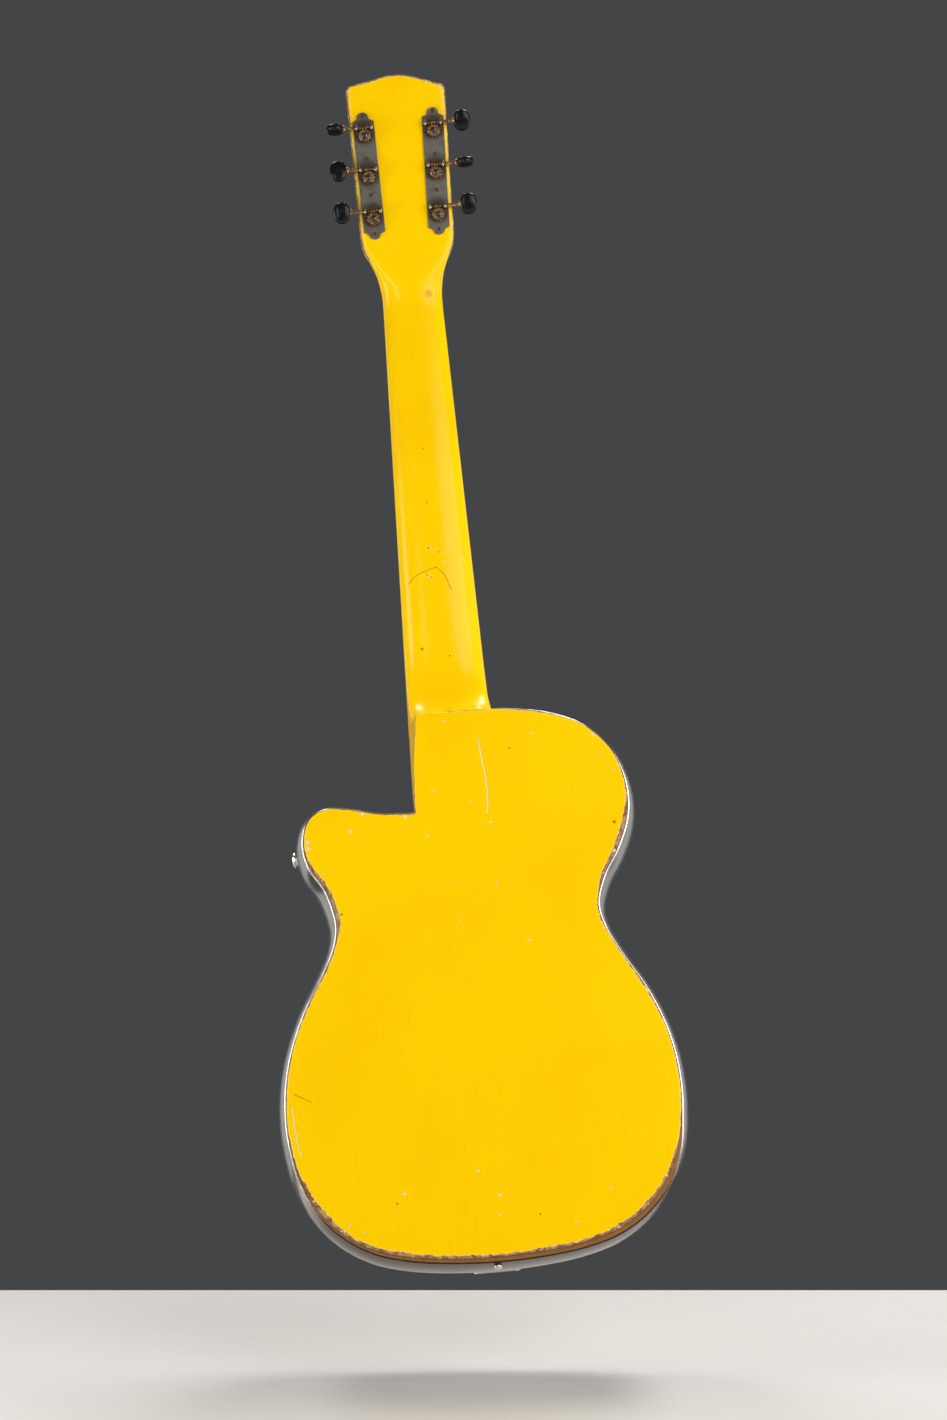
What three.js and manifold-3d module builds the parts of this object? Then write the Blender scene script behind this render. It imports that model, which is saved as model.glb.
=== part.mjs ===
// A single-cutaway resonator guitar: a flat back and a flat top on a bulged metal rim, one resonator
// cone, a pitched headstock and six open-gear tuners. Millimetres. The neck points along +Z, the
// strings are on the +Y side, and the origin is the centre of the end pin's flat end.
//
// Inside this file the guitar is drawn in body coordinates: x to the bass side, y from the back
// (0) to the front, z up, with the tail edge of the back plate at TAIL_EDGE_Z. One group moves it to
// its origin.
import * as THREE from 'three';
import { mergeVertices } from 'three/addons/utils/BufferGeometryUtils.js';
import Module from 'manifold-3d';

const wasm = await Module();
wasm.setup();

// ---------------------------------------------------------------- driving dimensions
const GAP = 0.3; // between two pieces that touch
const BODY_DEPTH = 80;
const PLATE = 4; // thickness of the back and the top
const INNER_BACK_Y = PLATE + GAP; // what lies between the plates reaches from here
const INNER_FRONT_Y = BODY_DEPTH - PLATE - GAP; // to here
const RIM_BULGE = 7; // how far the rim stands out at half its depth
const RIM_HALF_DEPTH = (INNER_FRONT_Y - INNER_BACK_Y) / 2;
const RIM_ARC = (RIM_HALF_DEPTH ** 2 + RIM_BULGE ** 2) / (2 * RIM_BULGE); // radius of the bulge
const RIM_WALL = 1.2;
const RIM_STATIONS = 80; // steps round the rim
const RIM_ROWS = 5; // points across the rim's depth
const RIM_START = new THREE.Vector2(37.5, 419.2); // where the rim meets the heel, bass side
const CUTAWAY_CORNER = new THREE.Vector2(-34, 340);
const TAIL_EDGE_Z = -5.5;

const SCALE_LENGTH = 647.7;
const NUT_Z = 795;
const SADDLE_Z = NUT_Z - SCALE_LENGTH;
const FRET_COUNT = 20;
const BOARD_END_Z = 345;
const BOARD_THICK = 5.7;
const BOARD_FACE_Y = BODY_DEPTH + GAP + BOARD_THICK;
const NUT_HALF_WIDTH = 25;
const NUT_THICK = 5.5;
const BODY_HALF_WIDTH = 33.2; // of the neck, where it meets the body
const NECK_JOINT_Z = 436; // the height at which the neck has that width
const HEEL_Z = 420;
const HEEL_MID_Z = 380; // half way down the heel wall, where it bends
const HEEL_TOP_Z = 466; // where the heel's curve leaves the back of the neck
const NECK_DEPTH_AT_NUT = 15; // without the fingerboard
const NECK_DEPTH_AT_HEEL = 19;
const TAPER = (BODY_HALF_WIDTH - NUT_HALF_WIDTH) / (NUT_Z - NECK_JOINT_Z);

const HEAD_PITCH = THREE.MathUtils.degToRad(13);
const HEAD_BASE_Y = 66; // the headstock's back surface passes through this y at HEAD_BASE_Z
const HEAD_BASE_Z = 790;
const HEAD_THICK = 13.5;
const OVERLAY_THICK = 1.5;

const CONE_Z = SADDLE_Z; // centre of the resonator
const COVER_RADIUS = 134;
const COVER_CROWN_Y = 88.2; // the cover's flat middle
const COVER_SLOT_GROUPS = 10;
const WELL_RADIUS = 127;
const CONE_RADIUS = 120.5;
const SCREEN_X = 72; // centres of the two screened sound holes
const SCREEN_Z = 303;
const SCREEN_HOLE = 21;

const NUT_SPACING = 8.5; // between strings
const SADDLE_SPACING = 10.4;
const TAIL_SPACING = 9;

const PIN_Y = 10;
const PIN_BALL_Z = -11.4;
const PIN_BALL = 3.2;
const PIN_END_Z = -13.8;
const PIN_STEM = 2;
const PIN_NECK = 2.4; // the stem meets the ball this far from its centre

const TEETH = 14;
const GEAR_TIP = 5.75;
const GEAR_ROOT = 4.7;
const GEAR_BORE = 2;
const WORM_OFFSET = 7; // worm axis above the post's axis
const POST_ROWS = [
  { row: 'near', h: 72.3, x: 27.3 },
  { row: 'mid', h: 107.5, x: 28.4 },
  { row: 'far', h: 142.7, x: 29 },
];
const POST_RADIUS = 3;
const POST_HOLE = 5; // radius of the hole through the headstock
const PLATE_HALF = 9; // half the width of a tuner plate
const STRING_T = 22; // height of the strings on the posts above the headstock's back

// Radius of each string, the highest first, and the post that it goes to.
const STRINGS = [
  { radius: 0.18, side: -1, row: 0 },
  { radius: 0.23, side: -1, row: 1 },
  { radius: 0.31, side: -1, row: 2 },
  { radius: 0.41, side: 1, row: 2 },
  { radius: 0.53, side: 1, row: 1 },
  { radius: 0.67, side: 1, row: 0 },
];

// ---------------------------------------------------------------- materials
const paint = new THREE.MeshStandardMaterial({ color: 0xfcc800, roughness: 0.35, metalness: 0 });
const bareWood = new THREE.MeshStandardMaterial({ color: 0xb98a55, roughness: 0.7, metalness: 0 });
const darkWood = new THREE.MeshStandardMaterial({ color: 0x3a2418, roughness: 0.5, metalness: 0 });
const polished = new THREE.MeshStandardMaterial({ color: 0xc9c7c2, roughness: 0.15, metalness: 1 });
const spun = new THREE.MeshStandardMaterial({ color: 0xd0d0d0, roughness: 0.3, metalness: 1 });
const agedNickel = new THREE.MeshStandardMaterial({ color: 0x77726a, roughness: 0.45, metalness: 1 });
const copper = new THREE.MeshStandardMaterial({ color: 0x8f5a36, roughness: 0.35, metalness: 1 });
const blackPlastic = new THREE.MeshStandardMaterial({ color: 0x0b0b0c, roughness: 0.2, metalness: 0 });
const bone = new THREE.MeshStandardMaterial({ color: 0xe8dfc8, roughness: 0.5, metalness: 0 });
const stringMetal = new THREE.MeshStandardMaterial({ color: 0xb8b2a6, roughness: 0.3, metalness: 1 });
const blackLacquer = new THREE.MeshStandardMaterial({ color: 0x141312, roughness: 0.25, metalness: 0 });

// ---------------------------------------------------------------- shape helpers
// One merged mesh without the empty triangles that a surface of revolution has at its axis.
function welded(geometry) {
  const bare = geometry.clone();
  bare.deleteAttribute('normal');
  bare.deleteAttribute('uv');
  const merged = mergeVertices(bare, 1e-4);
  const index = [];
  const source = merged.index.array;
  for (let i = 0; i < source.length; i += 3) {
    const [a, b, c] = [source[i], source[i + 1], source[i + 2]];
    if (a !== b && b !== c && c !== a) index.push(a, b, c);
  }
  merged.setIndex(index);
  return merged;
}

function toSolid(geometry) {
  const g = welded(geometry);
  const vertProperties = new Float32Array(g.attributes.position.array);
  const triVerts = new Uint32Array(g.index.array);
  return new wasm.Manifold(new wasm.Mesh({ numProp: 3, vertProperties, triVerts }));
}

function toGeometry(body) {
  const mesh = body.getMesh();
  const g = new THREE.BufferGeometry();
  g.setAttribute('position', new THREE.BufferAttribute(new Float32Array(mesh.vertProperties), 3));
  g.setIndex(Array.from(mesh.triVerts));
  return g;
}

function cut(geometry, tools) {
  let body = toSolid(geometry);
  for (const tool of tools) body = body.subtract(toSolid(tool));
  return toGeometry(body);
}

function join(geometry, others) {
  let body = toSolid(geometry);
  for (const other of others) body = body.add(toSolid(other));
  return toGeometry(body);
}

function boxAt(x0, x1, y0, y1, z0, z1) {
  const g = new THREE.BoxGeometry(x1 - x0, y1 - y0, z1 - z0);
  g.translate((x0 + x1) / 2, (y0 + y1) / 2, (z0 + z1) / 2);
  return g;
}

// A disc or rod whose axis is along y, from y0 to y1.
function rodY(radius, y0, y1, sides = 24) {
  const g = new THREE.CylinderGeometry(radius, radius, y1 - y0, sides);
  g.translate(0, (y0 + y1) / 2, 0);
  return g;
}

// A solid of revolution about y from a profile of [radius, y] pairs, in either order.
function revolve(profile, segments) {
  const points = profile.map(([r, y]) => new THREE.Vector2(r, y));
  if (THREE.ShapeUtils.area(points) < 0) points.reverse();
  return new THREE.LatheGeometry(points, segments);
}

// A flat piece with its outline in x and z, from y0 to y1.
function slab(shape, y0, y1, curveSegments = 12) {
  const g = new THREE.ExtrudeGeometry(shape, { depth: y1 - y0, bevelEnabled: false, curveSegments });
  g.rotateX(Math.PI / 2);
  g.translate(0, y1, 0);
  return g;
}

// The triangles of a flat ring, each turning the same way as the ring itself.
function capTriangles(ring, flat) {
  const points = ring.map(flat);
  const turns = Math.sign(THREE.ShapeUtils.area(points));
  return THREE.ShapeUtils.triangulateShape(points, []).map(([a, b, c]) => {
    const same = Math.sign(THREE.ShapeUtils.area([points[a], points[b], points[c]])) === turns;
    return same ? [a, b, c] : [a, c, b];
  });
}

// A closed skin through rings of equal length, with a flat cap on the first and the last.
// flat turns a point of a ring into the plane in which its cap is triangulated.
function loft(rings, flat) {
  const count = rings[0].length;
  const position = rings.flat().flatMap((p) => [p.x, p.y, p.z]);
  const index = [];
  for (let i = 0; i + 1 < rings.length; i += 1) {
    for (let j = 0; j < count; j += 1) {
      const a = i * count + j;
      const b = i * count + ((j + 1) % count);
      index.push(a, b, b + count, a, b + count, a + count);
    }
  }
  const last = (rings.length - 1) * count;
  for (const [a, b, c] of capTriangles(rings[0], flat)) index.push(a, c, b);
  for (const [a, b, c] of capTriangles(rings.at(-1), flat)) index.push(last + a, last + b, last + c);
  const g = new THREE.BufferGeometry();
  g.setAttribute('position', new THREE.Float32BufferAttribute(position, 3));
  g.setIndex(index);
  return toSolid(g).volume() < 0 ? flipped(g) : g;
}

function flipped(geometry) {
  const index = geometry.index.array;
  const turned = [];
  for (let i = 0; i < index.length; i += 3) turned.push(index[i], index[i + 2], index[i + 1]);
  geometry.setIndex(turned);
  return geometry;
}

function smoothStep(a, b, value) {
  return THREE.MathUtils.smoothstep(value, a, b);
}

function place(parent, name, geometry, material) {
  const mesh = new THREE.Mesh(geometry, material);
  mesh.name = name;
  parent.add(mesh);
  return mesh;
}

// ---------------------------------------------------------------- outline of the body
// Half of the lower bout from the tail to the waist, then each side's upper part, as [x, z].
const LOWER_BOUT = [
  [35.5, -4], [66, 0], [92, 7.5], [115, 21.7], [133.4, 42.6], [144.3, 66], [149.6, 90.7], [151, 111],
  [149.1, 137], [142.7, 163.5], [131.1, 191.5], [115.7, 218], [105, 240], [101.7, 258],
];
const BASS_SHOULDER = [
  [107.9, 278.3], [121.1, 300.2], [131.3, 326.5], [131.8, 353.4], [122.5, 379.9], [102.1, 401.1],
  [76, 412.6], [52, 417.3],
];
const TREBLE_HORN = [
  [-108.2, 285], [-120, 305.8], [-122.8, 326], [-116.8, 342.3], [-104, 349.2], [-88, 348.2], [-64, 342.5],
];

function rimCurve() {
  const bass = [...LOWER_BOUT, ...BASS_SHOULDER].reverse();
  const treble = [[0, TAIL_EDGE_Z], ...LOWER_BOUT.map(([x, z]) => [-x, z]), ...TREBLE_HORN];
  const inner = [...bass, ...treble].map(([x, z]) => new THREE.Vector3(x, z, 0));
  const first = new THREE.Vector3(RIM_START.x, RIM_START.y, 0);
  const last = new THREE.Vector3(CUTAWAY_CORNER.x, CUTAWAY_CORNER.y, 0);
  return new THREE.CatmullRomCurve3([first, ...inner, last], false, 'centripetal');
}

const RIM_CURVE = rimCurve();

// The heel wall leans out towards the front: its x at the body's top edge on the given face.
const HEEL_WALL = { back: { top: -27, mid: -31.6 }, front: { top: -33.2, mid: -34.2 } };

function bodyShape(wall) {
  const edge = RIM_CURVE.getSpacedPoints(RIM_STATIONS).map((p) => new THREE.Vector2(p.x, p.y));
  const mid = new THREE.Vector2(wall.mid, HEEL_MID_Z);
  const top = new THREE.Vector2(wall.top, HEEL_Z);
  return new THREE.Shape([...edge, mid, top].reverse());
}

function circleHole(x, z, radius, sides) {
  const points = [];
  for (let i = 0; i < sides; i += 1) {
    const angle = (-i / sides) * Math.PI * 2;
    points.push(new THREE.Vector2(x + radius * Math.cos(angle), z + radius * Math.sin(angle)));
  }
  return new THREE.Path(points);
}

// How far the rim stands outside the plates' edge at depth y: an arc over the depth.
function rimOffset(y) {
  return Math.sqrt(RIM_ARC ** 2 - (y - BODY_DEPTH / 2) ** 2) - (RIM_ARC - RIM_BULGE);
}

// ---------------------------------------------------------------- body
function backPlate() {
  return slab(bodyShape(HEEL_WALL.back), 0, PLATE);
}

function topPlate() {
  const shape = bodyShape(HEEL_WALL.front);
  shape.holes.push(circleHole(0, CONE_Z, WELL_RADIUS - 5, 64));
  shape.holes.push(circleHole(SCREEN_X, SCREEN_Z, SCREEN_HOLE, 28));
  shape.holes.push(circleHole(-SCREEN_X, SCREEN_Z, SCREEN_HOLE, 28));
  return slab(shape, BODY_DEPTH - PLATE, BODY_DEPTH, 16);
}

// One bulged metal strip bent round the body, from the heel's bass side to the cutaway corner.
function rim() {
  const depths = [];
  for (let j = 0; j < RIM_ROWS; j += 1) {
    depths.push(THREE.MathUtils.lerp(INNER_BACK_Y, INNER_FRONT_Y, j / (RIM_ROWS - 1)));
  }
  const rings = [];
  for (let i = 0; i <= RIM_STATIONS; i += 1) {
    const at = RIM_CURVE.getPointAt(i / RIM_STATIONS);
    const along = RIM_CURVE.getTangentAt(i / RIM_STATIONS);
    const out = new THREE.Vector2(-along.y, along.x); // the curve runs clockwise seen from the back
    const point = (y, offset) => new THREE.Vector3(at.x + out.x * offset, y, at.y + out.y * offset);
    const outer = depths.map((y) => point(y, rimOffset(y)));
    const inner = depths.map((y) => point(y, rimOffset(y) - RIM_WALL)).reverse();
    rings.push([...outer, ...inner]);
  }
  const flat = (p) => new THREE.Vector2(p.y, Math.hypot(p.x, p.z - 200));
  return cut(loft(rings, flat), [neckBlockShape(GAP), pinBore()]);
}

// The bore that the end pin's stem passes through.
function pinBore() {
  const bore = rodY(PIN_STEM + GAP, -20, 40);
  bore.rotateX(Math.PI / 2);
  bore.translate(0, PIN_Y, 0);
  return bore;
}

// The block under the fingerboard's end. Its painted outer wall is the cutaway's straight side.
function neckBlockShape(grow) {
  const ring = (y, wall) => [
    new THREE.Vector3(CUTAWAY_CORNER.x - grow, y, CUTAWAY_CORNER.y - grow),
    new THREE.Vector3(wall.mid - grow, y, HEEL_MID_Z),
    new THREE.Vector3(wall.top - grow, y, HEEL_Z + grow),
    new THREE.Vector3(RIM_START.x - 1.5 + grow, y, HEEL_Z - 0.6 + grow),
    new THREE.Vector3(RIM_START.x - 1.5 + grow, y, CUTAWAY_CORNER.y - grow),
  ];
  const rings = [ring(INNER_BACK_Y - grow, HEEL_WALL.back), ring(INNER_FRONT_Y + grow, HEEL_WALL.front)];
  return loft(rings, (p) => new THREE.Vector2(p.x, p.z));
}

const TAIL_BLOCK_TOP_Z = 17;

function tailBlock() {
  return cut(boxAt(-36, 36, INNER_BACK_Y, INNER_FRONT_Y, TAIL_EDGE_Z + 3.4, TAIL_BLOCK_TOP_Z), [pinBore()]);
}

function neckStick() {
  return boxAt(-13, 13, 8, 27, TAIL_BLOCK_TOP_Z + GAP, CUTAWAY_CORNER.y - GAP);
}

// A round wall with a ledge inside it for the cone's rim.
function soundwell() {
  const [r0, r1, ledge] = [WELL_RADIUS - 5.5, WELL_RADIUS, CONE_RADIUS - 9];
  const [foot, under, seat, top] = [30, 51, 57, INNER_FRONT_Y];
  const g = revolve([[r0, top], [r0, seat], [ledge, seat], [ledge, under], [r0, under], [r0, foot],
    [r1, foot], [r1, top], [r0, top]], 44);
  g.translate(0, 0, CONE_Z);
  return g;
}

// A spun cone standing on the soundwell's ledge, with a flat at its centre for the biscuit.
function resonatorCone() {
  const g = revolve([[0, 79.2], [33, 79.2], [108, 60.5], [113, 57.9], [CONE_RADIUS, 57.9],
    [CONE_RADIUS, 57.3], [112.6, 57.3], [107.6, 59.9], [32.8, 78.6], [0, 78.6]], 36);
  g.translate(0, 0, CONE_Z);
  return g;
}

function biscuit() {
  const g = revolve([[0, 79.5], [31.5, 79.5], [32, 80], [32, 84.8], [31, 85.8], [0, 85.8]], 28);
  g.translate(0, 0, CONE_Z);
  return g;
}

// ---------------------------------------------------------------- strings' path
const NUT_STRING_Y = BOARD_FACE_Y + 1.6;
const SADDLE_STRING_Y = 92.4;
const TAIL_STRING_Y = 89.4;
const TAIL_LIP_Z = 41;

function stringX(index, spacing) {
  return (index - 2.5) * spacing;
}

function saddle() {
  return boxAt(-31, 31, 86.1, SADDLE_STRING_Y - GAP, SADDLE_Z - 2.2, SADDLE_Z + 2.2);
}

// ---------------------------------------------------------------- cover and fittings on the top
function coverplate() {
  const [seat, crown] = [BODY_DEPTH + GAP, COVER_CROWN_Y];
  const plate = revolve([[COVER_RADIUS, seat], [COVER_RADIUS, 81.2], [124, 81.4], [100, 86.2], [56, crown],
    [0, crown], [0, crown - 1], [56, crown - 1], [99.8, 85.1], [123, seat], [COVER_RADIUS, seat]], 48);
  const saddleRoom = boxAt(-36, 36, 70, 100, -8, 8);
  const tools = [saddleRoom];
  for (let group = 0; group < COVER_SLOT_GROUPS; group += 1) {
    for (const spread of [-0.12, 0, 0.12]) {
      const slot = boxAt(64, spread === 0 ? 108 : 100, 70, 100, -2, 2);
      slot.rotateY(((group + 0.5) / COVER_SLOT_GROUPS) * Math.PI * 2 + spread);
      tools.push(slot);
    }
  }
  const g = cut(plate, tools);
  g.translate(0, 0, CONE_Z);
  return g;
}

// A strap over the saddle that keeps the player's hand off it, on two feet.
function palmRest() {
  const foot = COVER_CROWN_Y + GAP;
  const footTop = foot + 1.6;
  const [under, top] = [100.4, 102.4];
  const width = 22;
  const outline = new THREE.Shape();
  outline.moveTo(-66, foot);
  outline.lineTo(-50, foot);
  outline.lineTo(-50, footTop);
  outline.bezierCurveTo(-46, footTop, -46, under, -38, under);
  outline.lineTo(38, under);
  outline.bezierCurveTo(46, under, 46, footTop, 50, footTop);
  outline.lineTo(50, foot);
  outline.lineTo(66, foot);
  outline.lineTo(66, footTop);
  outline.lineTo(53, footTop);
  outline.bezierCurveTo(49, foot + 2, 49, top, 39, top);
  outline.lineTo(-39, top);
  outline.bezierCurveTo(-49, top, -49, foot + 2, -53, footTop);
  outline.lineTo(-66, footTop);
  const g = new THREE.ExtrudeGeometry(outline, { depth: width, bevelEnabled: false, curveSegments: 5 });
  g.translate(0, 0, SADDLE_Z - width / 2);
  return g;
}

// A perforated disc in a raised ring, lying on the top over a sound hole.
function screen(x) {
  const seat = BODY_DEPTH + GAP;
  const disc = revolve([[0, 80.9], [19, 80.9], [20, 82], [24.5, 81.6], [25, seat], [0, seat]], 24);
  const holes = [];
  for (let i = 0; i < 6; i += 1) {
    const hole = rodY(4, 70, 90, 8);
    hole.translate(11.5, 0, 0);
    hole.rotateY((i / 6) * Math.PI * 2);
    holes.push(hole);
  }
  const g = cut(disc, holes);
  g.translate(x, 0, SCREEN_Z);
  return g;
}

// One bent plate: its foot lies on the rim below the tail, and its lip holds the strings' ends.
function tailpiece() {
  const half = 29;
  const drop = (y) => TAIL_EDGE_Z - rimOffset(y) - GAP;
  const path = [[56, drop(56)], [66, drop(66)], [75, drop(75)], [81.5, TAIL_EDGE_Z - 2], [84, 0], [85.4, 14],
    [85.8, TAIL_LIP_Z], [91.6, TAIL_LIP_Z + 0.6]];
  const thick = 1.6;
  const outerSide = path.map(([y, z], i) => {
    const [ya, za] = path[Math.max(i - 1, 0)];
    const [yb, zb] = path[Math.min(i + 1, path.length - 1)];
    const length = Math.hypot(yb - ya, zb - za);
    return [y + ((zb - za) / length) * thick, z - ((yb - ya) / length) * thick];
  });
  const shape = new THREE.Shape([...path, ...outerSide.reverse()].map(([y, z]) => new THREE.Vector2(y, z)));
  const g = new THREE.ExtrudeGeometry(shape, { depth: half * 2, bevelEnabled: false });
  g.applyMatrix4(new THREE.Matrix4().set(0, 0, 1, -half, 1, 0, 0, 0, 0, 1, 0, 0, 0, 0, 0, 1));
  const slots = STRINGS.map(({ radius }, i) => {
    const x = stringX(i, TAIL_SPACING);
    const r = radius + GAP;
    return boxAt(x - r, x + r, TAIL_STRING_Y - r, 96, TAIL_LIP_Z - 5, TAIL_LIP_Z + 5);
  });
  const besideFoot = [boxAt(18, 40, 50, 85, -30, 8), boxAt(-40, -18, 50, 85, -30, 8)];
  return cut(g, [...slots, ...besideFoot]);
}

function endPin() {
  const profile = [[0, 15], [PIN_STEM, 15], [PIN_STEM, PIN_BALL_Z + PIN_NECK]];
  const from = Math.asin(PIN_NECK / PIN_BALL);
  const to = -Math.asin((PIN_BALL_Z - PIN_END_Z) / PIN_BALL);
  for (let i = 0; i <= 8; i += 1) {
    const angle = THREE.MathUtils.lerp(from, to, i / 8);
    profile.push([PIN_BALL * Math.cos(angle), PIN_BALL_Z + PIN_BALL * Math.sin(angle)]);
  }
  profile.push([0, PIN_END_Z]);
  const g = revolve(profile, 16);
  g.rotateX(Math.PI / 2);
  g.translate(0, PIN_Y, 0);
  return g;
}

// A low strap stud on the horn, square to the rim's surface.
const STUD = { y: 58, z: 322, edgeX: -122.8, radius: 6.8, height: 5 };
const STUD_TILT = Math.asin((STUD.y - BODY_DEPTH / 2) / RIM_ARC);

function strapStud() {
  const { radius, height } = STUD;
  const g = revolve([[0, 0], [radius - 1.6, 0], [radius - 2, 1.4], [radius - 0.4, 2.6], [radius, 3.6],
    [radius - 0.8, height - 0.3], [radius - 1.6, height], [0, height]], 20);
  g.rotateZ(Math.PI / 2 - STUD_TILT);
  const out = rimOffset(STUD.y) + 0.5; // clear of the rim where it curves away under the stud
  g.translate(STUD.edgeX - out, STUD.y, STUD.z);
  return g;
}

// ---------------------------------------------------------------- neck
function neckHalfWidth(z) {
  return NUT_HALF_WIDTH + (NUT_Z - z) * TAPER;
}

// The back of the neck: nearly straight, then a hollow curve down the heel to the back plate.
function neckBackY(z) {
  const depth = THREE.MathUtils.mapLinear(z, NUT_Z, HEEL_TOP_Z, NECK_DEPTH_AT_NUT, NECK_DEPTH_AT_HEEL);
  if (z >= HEEL_TOP_Z) return BODY_DEPTH - depth;
  const down = (HEEL_TOP_Z - z) / (HEEL_TOP_Z - HEEL_Z - GAP);
  const reach = BODY_DEPTH - NECK_DEPTH_AT_HEEL - 2.5;
  return BODY_DEPTH - NECK_DEPTH_AT_HEEL - reach * (1 - Math.sqrt(1 - 0.999 * down ** 2.2));
}

// A round-backed section; squareness 2 is an ellipse, and more is boxier.
function neckRing(z) {
  const half = neckHalfWidth(z);
  const back = neckBackY(z);
  const depth = BODY_DEPTH - back;
  const heel = smoothStep(HEEL_TOP_Z + 20, HEEL_Z, z);
  const squareness = 2.3 + 5 * heel;
  const flare = 2.3 * smoothStep(450, HEEL_Z, z);
  const ring = [];
  const steps = 16;
  for (let i = 0; i <= steps; i += 1) {
    const angle = (i / steps) * Math.PI;
    const across = Math.sign(Math.cos(angle)) * Math.abs(Math.cos(angle)) ** (2 / squareness);
    const down = Math.abs(Math.sin(angle)) ** (2 / squareness);
    const lean = across < 0 ? 6.2 * (depth * down / BODY_DEPTH) * heel : 0;
    const spread = across > 0 ? flare : 0;
    ring.push(new THREE.Vector3(across * (half + spread) + lean, BODY_DEPTH - depth * down, z));
  }
  return ring;
}

function neckShaft() {
  const stations = [HEEL_Z + GAP, 420.8, 422, 424, 427, 431, 437, 445, 455, HEEL_TOP_Z,
    480, 620, 760, 782, 800];
  const rings = stations.map((z) => neckRing(z));
  for (const p of rings.at(-1)) { // its end is buried in the headstock
    p.x *= 0.97;
    p.y = THREE.MathUtils.clamp(p.y, 67, BODY_DEPTH - 1);
  }
  return loft(rings, (p) => new THREE.Vector2(p.x, p.y));
}

// The headstock's outline, in x and the height h up its back surface.
function headShape(inset = 0) {
  const side = [[25, 5], [25.6, 12], [28.3, 26], [33.2, 38], [37.6, 47], [39.2, 56], [39.8, 88],
    [40.4, 120], [41.2, 155], [41.6, 176]];
  const half = side.map(([x, h]) => new THREE.Vector3(x - inset, h, 0));
  const right = new THREE.CatmullRomCurve3(half, false, 'centripetal').getSpacedPoints(22);
  const shape = new THREE.Shape();
  shape.moveTo(-right[0].x, 5);
  shape.lineTo(right[0].x, 5);
  for (const p of right.slice(1)) shape.lineTo(p.x, p.y);
  shape.quadraticCurveTo(41.2 - inset, 181.6 - inset, 35 - inset, 183.8 - inset);
  shape.bezierCurveTo(24, 187.6 - inset, 11, 193.1 - inset, 0, 193.1 - inset);
  shape.bezierCurveTo(-11, 193.1 - inset, -22, 189.2 - inset, -34 + inset, 187.2 - inset);
  shape.quadraticCurveTo(-41 + inset, 186 - inset, -right.at(-1).x, right.at(-1).y);
  for (const p of right.slice(1, -1).reverse()) shape.lineTo(-p.x, p.y);
  return shape;
}

function forEachPost(make) {
  const made = [];
  for (const side of [-1, 1]) {
    for (const [row, spec] of POST_ROWS.entries()) made.push(make(side, row, spec));
  }
  return made;
}

function postHoles(t0, t1) {
  return forEachPost((side, row, { x, h }) => {
    const hole = rodY(POST_HOLE, t0, t1, 14);
    hole.translate(side * x, 0, h);
    return hole;
  });
}

// From the headstock's own axes (x, thickness, height) to the body's.
function headMatrix() {
  const matrix = new THREE.Matrix4().makeRotationX(HEAD_PITCH);
  matrix.setPosition(0, HEAD_BASE_Y, HEAD_BASE_Z);
  return matrix;
}

function neck() {
  const head = cut(slab(headShape(), 0, HEAD_THICK, 4), postHoles(-5, 20));
  head.applyMatrix4(headMatrix());
  return join(neckShaft(), [head]);
}

function headOverlay() {
  const y0 = HEAD_THICK + GAP;
  const sheet = cut(slab(headShape(0.4), y0, y0 + OVERLAY_THICK, 4), postHoles(0, 30));
  const nutRoom = boxAt(-40, 40, 0, 40, -5, 12.4);
  return cut(sheet, [nutRoom]);
}

function fretZ(number) {
  return NUT_Z - SCALE_LENGTH * (1 - 2 ** (-number / 12));
}

// The fingerboard with its frets seated in it.
function fingerboard() {
  const [top, end] = [NUT_Z - GAP, BOARD_END_Z];
  const shape = new THREE.Shape([
    new THREE.Vector2(-neckHalfWidth(end), end),
    new THREE.Vector2(neckHalfWidth(end), end),
    new THREE.Vector2(neckHalfWidth(top), top),
    new THREE.Vector2(-neckHalfWidth(top), top),
  ]);
  const board = slab(shape, BODY_DEPTH + GAP, BOARD_FACE_Y);
  const frets = [];
  for (let n = 1; n <= FRET_COUNT; n += 1) {
    const z = fretZ(n);
    const half = neckHalfWidth(z) - 1;
    frets.push(boxAt(-half, half, BOARD_FACE_Y - 1, BOARD_FACE_Y + 1, z - 1.1, z + 1.1));
  }
  return join(board, frets);
}

function nut() {
  const [seat, top] = [BODY_DEPTH + GAP, NUT_STRING_Y + 0.6];
  const block = boxAt(-NUT_HALF_WIDTH, NUT_HALF_WIDTH, seat, top, NUT_Z, NUT_Z + NUT_THICK);
  const slots = STRINGS.map(({ radius }, i) => {
    const x = stringX(i, NUT_SPACING);
    const r = radius + GAP;
    return boxAt(x - r, x + r, NUT_STRING_Y - r, NUT_STRING_Y + 5, NUT_Z - 5, NUT_Z + 10);
  });
  return cut(block, slots);
}

// ---------------------------------------------------------------- tuners, in the headstock's axes
const PLATE_T1 = -GAP;
const PLATE_T0 = PLATE_T1 - 1.2;
const GEAR_T1 = PLATE_T0 - 0.6;
const GEAR_T0 = GEAR_T1 - 3;
const WORM_T = (GEAR_T0 + GEAR_T1) / 2;
const LUG_X = 6.4; // from the post's axis to the middle of each bearing lug
const LUG_THICK = 1.5;
const SHAFT_RADIUS = 1.5;
const WORM_RADIUS = 0.95;
const BUTTON_IN = 45.5; // the button's inner end, from the guitar's centre line
const BUTTON_LENGTH = 14.8;

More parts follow.
